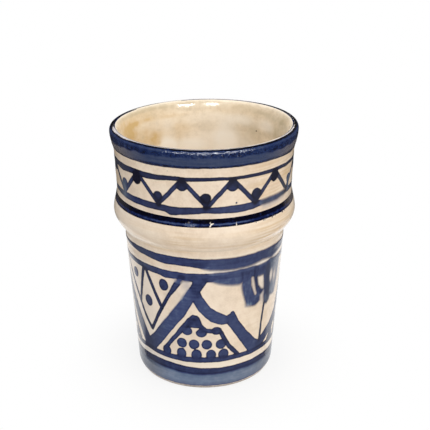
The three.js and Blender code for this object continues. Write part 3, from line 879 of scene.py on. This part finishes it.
class Nodes:
    """Short calls for the nodes of one material or of the world."""

    def __init__(self, owner, shader="Principled BSDF", output="Material Output"):
        owner.use_nodes = True
        self.owner = owner
        self.tree = owner.node_tree
        self.shader = self.tree.nodes[shader]
        self.surface = self.tree.nodes[output].inputs["Surface"]
        self.place = self.add("TexCoord").outputs["Object"]

    def add(self, kind, **settings):
        node = self.tree.nodes.new("ShaderNode" + kind)
        for key, value in settings.items():
            setattr(node, key, value)
        return node

    def feed(self, socket, value):
        if isinstance(value, bpy.types.NodeSocket):
            self.tree.links.new(value, socket)
        else:
            socket.default_value = value

    def sum_of(self, *terms, level=0.0):
        """Weighted sum of (value, weight) terms, counted from a level."""
        total = level
        for value, weight in terms:
            node = self.add("Math", operation="MULTIPLY_ADD")
            for socket, item in zip(node.inputs, (value, weight, total)):
                self.feed(socket, item)
            total = node.outputs[0]
        return total

    def pair(self, operation, a, b):
        node = self.add("Math", operation=operation)
        self.feed(node.inputs[0], a)
        self.feed(node.inputs[1], b)
        return node.outputs[0]

    def number(self, name):
        return self.add("Attribute", attribute_name=name).outputs["Fac"]

    def noise(self, size, detail=3.0, stretch=(1, 1, 1)):
        """Noise with patches of about this size in millimetres, longer along an axis that is stretched."""
        mapping = self.add("Mapping")
        self.feed(mapping.inputs["Vector"], self.place)
        mapping.inputs["Scale"].default_value = [1 / (size * MM * s) for s in stretch]
        node = self.add("TexNoise")
        self.feed(node.inputs["Vector"], mapping.outputs["Vector"])
        node.inputs["Scale"].default_value = 1.0
        node.inputs["Detail"].default_value = detail
        return node.outputs["Fac"]

    def mottle(self, *terms, level=0.0):
        """Weighted sum of noises of (size, weight)."""
        return self.sum_of(*[(self.noise(size), weight) for size, weight in terms], level=level)

    def spread(self, noise, low=0.0, high=1.0):
        """Stretches the usual range of noise over low to high."""
        return self.fade(noise, *NOISE_RANGE, low, high)

    def fade(self, value, low, high, to_low=0.0, to_high=1.0):
        node = self.add("MapRange", interpolation_type="SMOOTHSTEP")
        for i, item in enumerate((value, low, high, to_low, to_high)):
            self.feed(node.inputs[i], item)
        return node.outputs[0]

    def ramp(self, value, stops):
        node = self.add("ValToRGB")
        self.feed(node.inputs["Fac"], value)
        elements = node.color_ramp.elements
        while len(elements) < len(stops):
            elements.new(0.5)
        for element, (place, colour) in zip(elements, stops):
            element.position = place
            element.color = (*colour, 1)
        return node.outputs["Color"]

    def blend(self, share, under, over):
        node = self.add("Mix", data_type="RGBA")
        self.feed(node.inputs["Factor"], share)
        for name, value in (("A", under), ("B", over)):
            socket = next(s for s in node.inputs if s.name == name and s.type == "RGBA")
            self.feed(socket, (*value, 1) if isinstance(value, tuple) else value)
        return next(s for s in node.outputs if s.type == "RGBA")

    def finish(self, colour, roughness, height, bump_mm):
        self.feed(self.shader.inputs["Base Color"], colour)
        self.feed(self.shader.inputs["Roughness"], roughness)
        bump = self.add("Bump")
        bump.inputs["Strength"].default_value = 1.0
        bump.inputs["Distance"].default_value = bump_mm * MM
        self.feed(bump.inputs["Height"], height)
        self.feed(self.shader.inputs["Normal"], bump.outputs["Normal"])
        return self.owner


def new_material(name):
    return Nodes(bpy.data.materials.new(name))


CREAM_TONES = [(0.0, (0.73, 0.59, 0.455)), (0.5, (0.81, 0.67, 0.53)), (1.0, (0.87, 0.74, 0.60))]
PALE_CREAM = (0.91, 0.83, 0.74)
OCHRE = (0.66, 0.47, 0.27)
# Blue-grey of glaze that has run, also used for painted shade and painted cool light
BLUE_RUN_AND_COOL_SHADE = (0.15, 0.18, 0.30)
DULL_PAINT = (0.058, 0.06, 0.082)
COBALT = [
    (0.0, (0.33, 0.36, 0.46)), (0.2, (0.125, 0.178, 0.285)), (0.38, (0.057, 0.078, 0.185)),
    (0.5, (0.038, 0.054, 0.146)), (0.65, (0.021, 0.029, 0.090)), (0.8, (0.013, 0.017, 0.050)),
    (1.0, (0.008, 0.008, 0.022)),
]
RIM_COLOURS = [
    (0.0, (0.052, 0.071, 0.14)), (0.15, (0.031, 0.049, 0.12)), (0.45, (0.008, 0.021, 0.09)),
    (0.75, (0.003, 0.006, 0.03)), (1.0, (0.002, 0.002, 0.004)),
]
SHOULDER_COLOURS = [
    (0.0, (0.06, 0.09, 0.19)), (0.25, (0.006, 0.014, 0.075)), (0.6, (0.002, 0.003, 0.02)),
    (1.0, (0.001, 0.001, 0.006)),
]
WORN_AND_LIT_LIP = (0.70, 0.66, 0.68)
RIM_BROWN = (0.25, 0.215, 0.20)
LINER_TONES = [(0.0, (0.72, 0.61, 0.46)), (0.5, (0.86, 0.74, 0.58)), (1.0, (0.94, 0.83, 0.68))]
LINER_PALE = (0.97, 0.92, 0.84)
LINER_OCHRE = (0.68, 0.48, 0.22)
LINER_GREY = (0.52, 0.44, 0.30)
LINER_SPECK = (0.16, 0.13, 0.10)
CLAY_TONES = [(0.0, (0.33, 0.27, 0.23)), (0.5, (0.48, 0.42, 0.38)), (1.0, (0.60, 0.54, 0.50))]


def painted_glaze():
    """Mottled cream with throwing rings, stains and cobalt brush work that has sunk into it, with painted
    shade, cool light and reflections in places.
    """
    nodes = new_material("painted_glaze")
    cover, soft, amount, hang, dull, wash, brown, pale = (nodes.number(kind) for kind in Painting.KINDS)
    mottle = nodes.mottle((14, 0.45), (3.5, 0.35), (0.8, 0.3), level=-0.05)
    cream = nodes.ramp(nodes.spread(mottle), CREAM_TONES)
    rings = nodes.noise(1.3, detail=2, stretch=(22, 22, 1))
    stain = nodes.pair("MULTIPLY", brown, nodes.fade(rings, 0.35, 0.65))
    # pale whitens the cream, in places as a painted highlight and painted reflection; wash turns it
    # blue-grey, in places as painted shade and painted cool light
    stained = nodes.blend(stain, nodes.blend(pale, cream, PALE_CREAM), OCHRE)
    glaze = nodes.blend(wash, stained, BLUE_RUN_AND_COOL_SHADE)
    ragged = nodes.sum_of((cover, 1.0), (nodes.noise(1.2), 0.3), level=-0.15)
    mask = nodes.fade(nodes.pair("DIVIDE", ragged, soft), -1.0, 1.0)
    blurred = nodes.fade(soft, 0.2, 0.5)
    level_streaks = nodes.noise(1.0, detail=2, stretch=(9, 9, 1))
    hanging_streaks = nodes.noise(0.9, detail=2, stretch=(1, 1, 9))
    streaks = nodes.blend(hang, level_streaks, hanging_streaks)
    drag = nodes.pair("MULTIPLY", hang, nodes.sum_of((hanging_streaks, 1.0), level=-0.5))
    edge = nodes.pair("SUBTRACT", nodes.fade(cover, 0.0, 0.9, 1.0, 0.0), blurred)
    uneven = nodes.sum_of((streaks, 0.22), (nodes.noise(2.2), 0.3), level=-0.26)
    body = nodes.fade(amount, 0.3, 0.9, 0.4, 1.0)
    thick = nodes.sum_of((amount, 0.5), (uneven, body), (edge, 0.22), (drag, 0.25), level=-0.02)
    cobalt = nodes.blend(dull, nodes.ramp(thick, COBALT), DULL_PAINT)
    colour = nodes.blend(mask, glaze, cobalt)
    roughness = nodes.spread(nodes.noise(5), 0.12, 0.22)
    relief = nodes.sum_of((nodes.noise(2.2), 0.5), (rings, 0.3), (mask, 0.3))
    return nodes.finish(colour, roughness, relief, 0.05)


def dark_coat(name, stops, bare, bump_mm, refraction):
    """Thick glossy cobalt with the unevenness of a glaze that has run, with wear where pale says; on the
    lip some of that pale is a painted highlight.
    """
    nodes = new_material(name)
    nodes.shader.inputs["IOR"].default_value = refraction
    amount = nodes.number("amount")
    pooled = nodes.mottle((2.2, 2.2), (0.7, 2.0), level=-2.1)
    streaks = nodes.noise(0.8, detail=2, stretch=(10, 10, 1))
    pools = nodes.pair("MULTIPLY", amount, pooled)
    thick = nodes.sum_of((amount, 1.0), (pools, 1.0), (streaks, 0.4), level=-0.2)
    cobalt = nodes.blend(nodes.number("brown"), nodes.ramp(thick, stops), RIM_BROWN)
    wear_and_highlight = nodes.sum_of((nodes.number("pale"), 1.0), (nodes.noise(0.9), 0.8), level=-0.4)
    colour = nodes.blend(nodes.fade(wear_and_highlight, 0.25, 0.75), cobalt, bare)
    roughness = nodes.spread(nodes.noise(3), 0.06, 0.16)
    relief = nodes.sum_of((nodes.noise(1.6), 1.0), (nodes.noise(0.6), 0.4), (streaks, 0.3))
    return nodes.finish(colour, roughness, relief, bump_mm)


def liner_glaze():
    """Cream inside, faintly ringed, with ochre, grey and white patches; some of the white is painted light.
    """
    nodes = new_material("liner_glaze")
    across = nodes.noise(1.6, stretch=(3, 3, 1))
    mottle = nodes.mottle((8, 0.4), (2.5, 0.4), (0.9, 0.2), level=-0.15)
    patchy = nodes.sum_of((mottle, 1.0), (across, 0.3))
    cream = nodes.ramp(nodes.spread(patchy), LINER_TONES)
    loose = nodes.fade(nodes.noise(4), 0.25, 0.75, 0.5, 1.2)
    ochre = nodes.blend(nodes.pair("MULTIPLY", nodes.number("brown"), loose), cream, LINER_OCHRE)
    grey = nodes.blend(nodes.pair("MULTIPLY", nodes.number("wash"), loose), ochre, LINER_GREY)
    pale = nodes.blend(nodes.number("pale"), grey, LINER_PALE)
    colour = nodes.blend(nodes.fade(nodes.number("cover"), -0.15, 0.15), pale, LINER_SPECK)
    roughness = nodes.spread(nodes.noise(5), 0.08, 0.16)
    return nodes.finish(colour, roughness, nodes.noise(2.5), 0.05)


def bare_clay():
    nodes = new_material("bare_clay")
    grain = nodes.mottle((0.8, 0.6), (4, 0.4))
    colour = nodes.ramp(nodes.spread(grain), CLAY_TONES)
    roughness = nodes.spread(grain, 0.65, 0.9)
    return nodes.finish(colour, roughness, nodes.noise(0.6), 0.15)


# Pieces of the pot

def settle(piece, material, slot, *nodes):
    piece.data.materials.append(material)
    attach(piece, "root")
    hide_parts(*nodes)


def lay_coat(name, face, relief, paint, material, slot, *nodes):
    piece = coat(name, face, relief, under=face)
    paint.put_on(piece)
    settle(piece, material, slot, *nodes)


def make_body_glaze(material):
    face = between(GLAZE_EDGE, BODY_TOP, FACE_STEP)
    paint = Painting(face)
    paint_panels(paint)
    stain_and_light_wall(paint)
    motifs = ("panel_tent", "tent_core", "panel_chevron")
    numbered = [f"{motif}_{i + 1}" for motif in motifs for i in range(4)]
    lay_coat(
        "body_glaze", face, paint.relief(), paint, material, "cream_glaze",
        "outer_glaze", "waist_line", "panel_top_line", "panel_bottom_line", "base_band", *numbered,
    )


def make_neck_glaze(material):
    face = between(BODY_TOP, NECK_TOP, FINE_STEP)
    paint = Painting(face)
    paint_frieze(paint)
    stain_and_shade_neck(paint)
    lay_coat(
        "neck_glaze", face, paint.relief(), paint, material, "cobalt_paint",
        "outer_glaze", "frieze_upper_line", "frieze_zigzag", "frieze_lower_line",
    )


RIM_COAT_EDGE = [
    (-70, 109.7), (-55, 109.9), (-45, 110.3), (-20, 110.6), (20, 110.6), (45, 110.0), (60, 109.7),
    (180, 110.2),
]
RIM_COAT_STRENGTH = [(-70, 0.5), (-50, 0.46), (-35, 0.4), (-20, 0.38), (0, 0.45), (45, 0.47), (180, 0.4)]
RIM_STAIN = [
    (-100, 0.1), (-72, 0.7), (-60, 0.65), (-44, 0.15), (-34, 0), (34, 0), (44, 0.1), (60, 0.5), (72, 0.6),
    (100, 0.1), (140, 0.0), (180, 0.2), (-140, 0.0),
]
RIM_WORN_AND_LIT = [
    (-84, 0), (-74, 0.9), (-66, 0.5), (-56, 0.9), (-42, 0), (120, 0), (160, 0.9), (-160, 0.9), (-130, 0),
]
RIM_BARE_AND_LIT_EDGE = [(-90, 0), (-75, 0.7), (75, 0.8), (90, 0)]
RIM_WAVER, RIM_COAT_BLUR = 0.35, 0.45
RIM_WASH_AMOUNT, RIM_EDGE_AMOUNT = 0.07, 0.75
DARK_FROM_BELOW, DARK_FROM_CREST = (0.7, 1.2), (0.95, 1.5)
WORN_AND_LIT_FROM_CREST, BARE_AND_LIT_FROM_CREST = (0.5, 1.3), (0.25, 0.5)
RISES_FROM_BELOW, RISES_FROM_CREST = (0, 0.8), (0, 1.5)
THIN_LIT_EDGE_INSET, THIN_LIT_EDGE_REACH, THIN_LIT_EDGE_SHARE = 1.9, 0.55, 0.75
RIM_REFRACTION, SHOULDER_REFRACTION = 1.8, 1.5


def make_rim_band():
    """Thin slate wash, a second dark coat over its upper half, with wear at the crest on the left and
    behind; behind, the pale is partly a painted highlight.
    """
    face = between(RIM_BOTTOM, crest_level, COAT_STEP)
    paint = Painting(face)
    run = np.broadcast_to(lengths_along(face)[:, None], paint.angle.shape)
    to_crest = run.max() - run
    uneven = RIM_WAVER * waver(paint.angle, paint.height, 40, seed=21)
    above_edge = paint.height + uneven - paint.turning(RIM_COAT_EDGE)
    upper_coat = smooth(-RIM_COAT_BLUR, RIM_COAT_BLUR, above_edge)
    # Dark lines along both edges of the coat: at the bottom pooled cobalt, at the crest partly a painted
    # dark reflection.
    dark_edges = 0.7 * (1 - smooth(*DARK_FROM_BELOW, run)) + (1 - smooth(*DARK_FROM_CREST, to_crest))
    # Below the crest the upper coat is thinned and paler, partly a painted glint.
    thinned_and_lit = 1 - THIN_LIT_EDGE_SHARE * hump(THIN_LIT_EDGE_INSET, THIN_LIT_EDGE_REACH, to_crest)
    coat_amount = paint.turning(RIM_COAT_STRENGTH) * upper_coat * thinned_and_lit
    paint.amount = RIM_WASH_AMOUNT + coat_amount + RIM_EDGE_AMOUNT * dark_edges
    paint.brown = (1 - 0.95 * upper_coat) * paint.turning(RIM_STAIN)
    # Wear at the crest on the left; behind, the pale place is partly wear and partly a painted highlight of
    # light from behind.
    wear_and_highlight = paint.turning(RIM_WORN_AND_LIT) * (1 - smooth(*WORN_AND_LIT_FROM_CREST, to_crest))
    # The pale line along the front of the crest is partly bare glaze and partly a painted highlight.
    paint.pale = wear_and_highlight + paint.turning(RIM_BARE_AND_LIT_EDGE) * (1 - smooth(*BARE_AND_LIT_FROM_CREST, to_crest))
    relief = RIM_RELIEF * smooth(*RISES_FROM_BELOW, run) * smooth(*RISES_FROM_CREST, to_crest)
    material = dark_coat("rim_cobalt", RIM_COLOURS, WORN_AND_LIT_LIP, 0.4, RIM_REFRACTION)
    lay_coat("rim_coat", face, relief, paint, material, "navy_glaze", "rim_band")


SHOULDER_LINE_STAIN = [(-70, 0.15), (-50, 0), (58, 0), (70, 0.4), (84, 0.5), (110, 0), (-110, 0)]
# Strength round the pot of the painted sheen, a lighter streak along the line's middle.
SHOULDER_SHEEN = [
    (-64, 0.5), (-40, 0.4), (-28, 0.9), (-14, 0.9), (-3, 0.6), (2, 0.4), (7, 1.1), (20, 1.1), (28, 0.8),
    (36, 0.35), (50, 0.3), (64, 0.2),
]
SHEEN_HEIGHT, SHEEN_REACH = 82.15, 0.35
CHIPS = [
    ([(3.0, 81.3), (4.0, 82.3)], [0.25, 0.15]), ([(4.0, 82.3), (5.3, 82.6)], [0.2, 0.16]),
    ([(3.9, 82.5), (3.0, 83.2)], [0.12, 0.12]), ([(19.5, 81.2), (19.8, 83.1)], [0.18, 0.1]),
]
BLACK_ABOVE, BLACK_BELOW = (82.4, 83.0), (81.25, 81.75)
RUBBED = (-8.5, 82.3, 2.3, 1.3)
SCRATCHES = [-11.6, -8.2, -5.6]


def make_shoulder_line():
    """Black at its edges with a painted blue sheen between, two chips and a rubbed, scratched place in
    front.
    """
    face = between(*SHOULDER_LINE, COAT_STEP)
    paint = Painting(face)
    share = np.linspace(-1, 1, len(face))[:, None]
    relief = np.broadcast_to(SHOULDER_LINE_RELIEF * (1 - share**4), paint.angle.shape)
    # Painted highlight: a lighter blue streak in the cobalt's colour stands for a sheen. The black above it
    # is partly a painted dark reflection.
    painted_sheen = hump(SHEEN_HEIGHT, SHEEN_REACH, paint.height) * paint.turning(SHOULDER_SHEEN)
    black_above = 0.5 * smooth(*BLACK_ABOVE, paint.height)
    black_below = 0.35 * (1 - smooth(*BLACK_BELOW, paint.height))
    paint.amount = 0.4 + black_above + black_below - 0.42 * painted_sheen
    paint.brown = paint.turning(SHOULDER_LINE_STAIN)
    for points, widths in CHIPS:
        paint.tint("pale", paint.stroke(points, widths), 1.1, 0.25)
    rubbed = paint.dot(*RUBBED)
    paint.amount -= 0.35 * smooth(-0.5, 0.5, rubbed)
    paint.tint("pale", rubbed, 0.3, 0.5)
    for angle in SCRATCHES:
        paint.tint("pale", paint.stroke([(angle, 81.2), (angle + 0.3, 83.2)], 0.15), 0.15, 0.3)
    material = dark_coat("shoulder_cobalt", SHOULDER_COLOURS, PALE_CREAM, 0.08, SHOULDER_REFRACTION)
    lay_coat("shoulder_coat", face, relief, paint, material, "navy_glaze", "shoulder_line")


# Patches as (angle, height, half width, half height, strength)
LINER_PATCHES = {
    "brown": [
        (-106, 106, 9, 5, 0.55), (-110, 105.5, 5, 3, 0.5), (-118, 103, 3, 1.5, 0.25),
        (-122, 107.8, 10, 1.1, 0.5), (-126, 102, 18, 10, 0.25), (-135, 100, 6, 4.5, 0.4),
        (-140, 97.7, 3, 3, 0.4), (-144, 95.4, 1.0, 0.9, 0.7), (-115, 110.5, 22, 3, 0.25),
        (-150, 107.5, 9, 0.9, 0.3), (-162, 99, 4, 5, 0.25), (150, 110, 14, 2, 0.2),
        (-119, 99.8, 3, 2, 0.4), (-110, 104.8, 3, 1.6, 0.35),
    ],
    "wash": [
        (145, 99.5, 8, 6, 0.3), (139, 102, 5, 4, 0.1), (106, 107.5, 8, 6, 0.45),
        (122, 109.8, 11, 1.2, 0.35), (178, 101, 3.5, 2.5, 0.25), (116, 103, 6, 3, 0.35),
        (125, 104, 24, 10, 0.2), (-175, 111, 30, 1.5, 0.2), (-140, 112.8, 26, 1.2, 0.6),
        (103, 109.5, 4, 3, 0.3),
    ],
    # The pale patches behind and low down, near 150 to 210 degrees, are painted light that keeps the deep
    # wall from darkening.
    "pale": [
        (-152, 98, 3.5, 7, 0.3), (127, 105, 5, 2.5, 0.5), (163, 96, 5, 8, 0.5), (-142, 104.5, 8, 3, 0.3),
        (170, 104.5, 16, 3, 0.35), (150, 105.5, 6, 2, 0.3), (170, 94, 16, 6, 0.6), (-150, 93, 4, 4, 0.8),
        (-165, 92.5, 9, 3, 0.5),
    ],
}
LINER_SPECKS = [(137, 101.6, 0.45), (-76, 113.2, 0.5)]
PATCH_BLUR = 0.6
LIP_PALE, LIP_PALE_FADES = 0.45, (0.4, 1.8)


def make_liner():
    lit = inside[:, 1] >= neck_bottom
    face = joined(evenly(inside[lit], LINER_STEP), evenly(inside[~lit], 2 * LINER_STEP))
    piece = coat("liner_glaze", face, 0, under=inside)
    paint = Painting(face)
    run = np.broadcast_to(lengths_along(face)[:, None], paint.angle.shape)
    # A pale line round the inside of the lip, partly a painted highlight on its roll.
    paint.pale = LIP_PALE * (1 - smooth(*LIP_PALE_FADES, run))
    for kind, patches in LINER_PATCHES.items():
        for angle, height, wide, tall, strength in patches:
            paint.tint(kind, paint.dot(angle, height, wide, tall), strength, PATCH_BLUR * min(wide, tall))
    for speck in LINER_SPECKS:
        paint.add(paint.dot(*speck), 1.0)
    paint.put_on(piece)
    settle(piece, liner_glaze(), "liner_glaze", "inner_glaze")


def make_clay_body():
    foot_radius = BASE_RADIUS - FOOT_INSET
    ring_inside = foot_radius - FOOT_RING_WIDTH
    underside = joined(
        line(point(0, FOOT_RECESS), point(ring_inside - RECESS_SLOPE, FOOT_RECESS)),
        line(point(ring_inside - RECESS_SLOPE, FOOT_RECESS), point(ring_inside, 0)),
        line(point(ring_inside, 0), point(foot_radius, 0)),
    )
    foot_pull = point(foot_radius + FOOT_PULL[0], FOOT_PULL[1])
    edge_pull = point(BASE_RADIUS - EDGE_PULL[0], EDGE_PULL[1])
    edge_top = point(BASE_RADIUS - EDGE_INSET, GLAZE_EDGE)
    edge = curve(point(foot_radius, 0), foot_pull, edge_pull, edge_top, steps=12)
    outer = between(GLAZE_EDGE + GLAZE_LAP, crest_level, CLAY_STEP)
    outer = outer - normals_of(outer) * GLAZE_THICKNESS
    inner = evenly(inside, CLAY_STEP)
    inner = inner - normals_of(inner) * GLAZE_THICKNESS
    inner[-1] = point(0, FLOOR_THICKNESS - GLAZE_THICKNESS)
    path = joined(evenly(underside, FOOT_STEP), evenly(edge, FOOT_EDGE_STEP), outer, inner)
    piece = turned_mesh("clay_pot", list(turned_points(path, 0)), loop=False, shown=len(path))
    settle(piece, bare_clay(), "clay", "clay_body")


glaze = painted_glaze()
make_clay_body()
make_body_glaze(glaze)
make_neck_glaze(glaze)
make_shoulder_line()
make_rim_band()
make_liner()


# Stage: white table, dark room that only the gloss sees, light and camera

OPENING_FRONT, OPENING_BACK = 37, 150
OPENING_WIDENS = (76, 128)
DARK_ROOM = [(1100, 1), (1100, 900), (700, 1300), (1, 1300)]
ROOM_TURNS = 72
FLOOR_HALF = 3000
FLOOR_GREY, ROOM_GREY, STAGE_ROUGHNESS = 0.75, 0.02, 0.9
SHADOW_FADES, SHADOW_WHITE = (30, 75), 0.82
WORLD_STRENGTH, WORLD_COLOUR = 0.57, (0.98, 0.99, 1.0)

# Lamps by name, place, height aimed at, size, power, colour and the sheen that they light
LAMPS = [
    ("key", (500, -700, 600), 60, (1200, 1000), 4.8, (1.0, 0.95, 0.85), "matt"),
    ("fill", (-700, -500, 500), 60, (900, 900), 0.5, (0.88, 0.94, 1.0), "matt"),
    ("top", (0, -150, 1000), 90, (700, 700), 5.0, (1.0, 0.97, 0.93), "matt"),
    ("back", (-200, 800, 700), 60, (900, 700), 2.0, (1.0, 0.98, 0.95), "matt"),
    ("window_right", (373, -732, 478), 100, (350, 190), 4.5, (1.0, 1.0, 1.0), "gloss"),
    ("window_left", (-171, -804, 478), 100, (290, 190), 3.8, (1.0, 1.0, 1.0), "gloss"),
]


def whiten(nodes, white, share=1.0):
    """Shows white to a share of the rays that come straight from the camera, a mirror or clear glass."""
    path = nodes.add("LightPath")
    seen = path.outputs["Is Camera Ray"]
    for name in ("Is Glossy Ray", "Is Transmission Ray"):
        seen = nodes.pair("MAXIMUM", seen, path.outputs[name])
    mix = nodes.add("MixShader")
    nodes.feed(mix.inputs[0], nodes.pair("MULTIPLY", share, seen))
    nodes.feed(mix.inputs[1], nodes.shader.outputs[0])
    nodes.feed(mix.inputs[2], white.outputs[0])
    nodes.feed(nodes.surface, mix.outputs[0])


def plain_grey(name, grey):
    nodes = new_material(name)
    nodes.shader.inputs["Base Color"].default_value = (grey, grey, grey, 1)
    nodes.shader.inputs["Roughness"].default_value = STAGE_ROUGHNESS
    return nodes


def make_floor():
    """White table that keeps a faint shadow near the pot and fades to plain white further off."""
    nodes = plain_grey("floor", FLOOR_GREY)
    distance = nodes.add("VectorMath", operation="LENGTH")
    nodes.feed(distance.inputs[0], nodes.place)
    near, away = (reach * MM for reach in SHADOW_FADES)
    far = nodes.fade(distance.outputs["Value"], near, away, SHADOW_WHITE, 1.0)
    whiten(nodes, nodes.add("Emission"), far)
    half = FLOOR_HALF * MM
    corners = [(-half, -half, 0), (half, -half, 0), (half, half, 0), (-half, half, 0)]
    mesh = bpy.data.meshes.new("floor")
    mesh.from_pydata(corners, [], [(0, 1, 2, 3)])
    mesh.materials.append(nodes.owner)
    sheet = placed("floor", mesh)


def make_dark_room():
    """Ground with an opening round the pot, walls and roof. The opening is wider behind."""
    angle = np.arange(ROOM_TURNS) * 360 / ROOM_TURNS
    behind = smooth(*OPENING_WIDENS, 180 - np.abs(angle - 180))
    opening = OPENING_FRONT + (OPENING_BACK - OPENING_FRONT) * behind
    across, ahead = np.sin(np.radians(angle)), -np.cos(np.radians(angle))
    walls = [(opening, 1), *DARK_ROOM]
    rows = []
    for radius, level in walls:
        rows.append(np.stack([radius * across, radius * ahead, np.full(ROOM_TURNS, level)], 1))
    sheet = turned_mesh("dark_room", rows, loop=False, shown=len(rows))
    sheet.data.materials.append(plain_grey("studio_dark", ROOM_GREY).owner)
    sheet.visible_camera = False
    sheet.visible_diffuse = False
    sheet.visible_shadow = False


def make_world():
    world = bpy.data.worlds.new("studio")
    bpy.context.scene.world = world
    nodes = Nodes(world, "Background", "World Output")
    nodes.shader.inputs["Color"].default_value = (*WORLD_COLOUR, 1)
    nodes.shader.inputs["Strength"].default_value = WORLD_STRENGTH
    white = nodes.add("Background")
    white.inputs["Color"].default_value = (1, 1, 1, 1)
    whiten(nodes, white)


def make_lamp(name, place, aim_height, size, watts, colour, lights):
    """Soft lamp that lights either the matt surface or the gloss."""
    lamp = bpy.data.lights.new(name, "AREA")
    lamp.shape = "RECTANGLE"
    lamp.size, lamp.size_y = (s * MM for s in size)
    lamp.energy = watts
    lamp.color = colour
    holder = placed(name, lamp)
    holder.location = Vector(place) * MM
    aim = Vector((0, 0, aim_height)) - Vector(place)
    holder.rotation_euler = aim.to_track_quat("-Z", "Y").to_euler()
    holder.visible_glossy = lights == "gloss"
    holder.visible_diffuse = lights == "matt"


def make_camera():
    camera = bpy.data.cameras.new("camera")
    camera.sensor_width = SENSOR
    camera.lens = FOCAL_PIXELS * SENSOR / PICTURE_PIXELS
    holder = placed("camera", camera)
    place = Matrix.Translation(Vector(CAMERA_AT) * MM)
    for angle, axis in ((-CAMERA_RIGHT, "Z"), (90 - CAMERA_DOWN, "X"), (CAMERA_ROLL, "Z")):
        place = place @ Matrix.Rotation(math.radians(angle), 4, axis)
    holder.matrix_world = place
    bpy.context.scene.camera = holder


make_floor()
make_dark_room()
make_world()
for lamp in LAMPS:
    make_lamp(*lamp)
make_camera()
bpy.context.scene.view_settings.view_transform = "Standard"
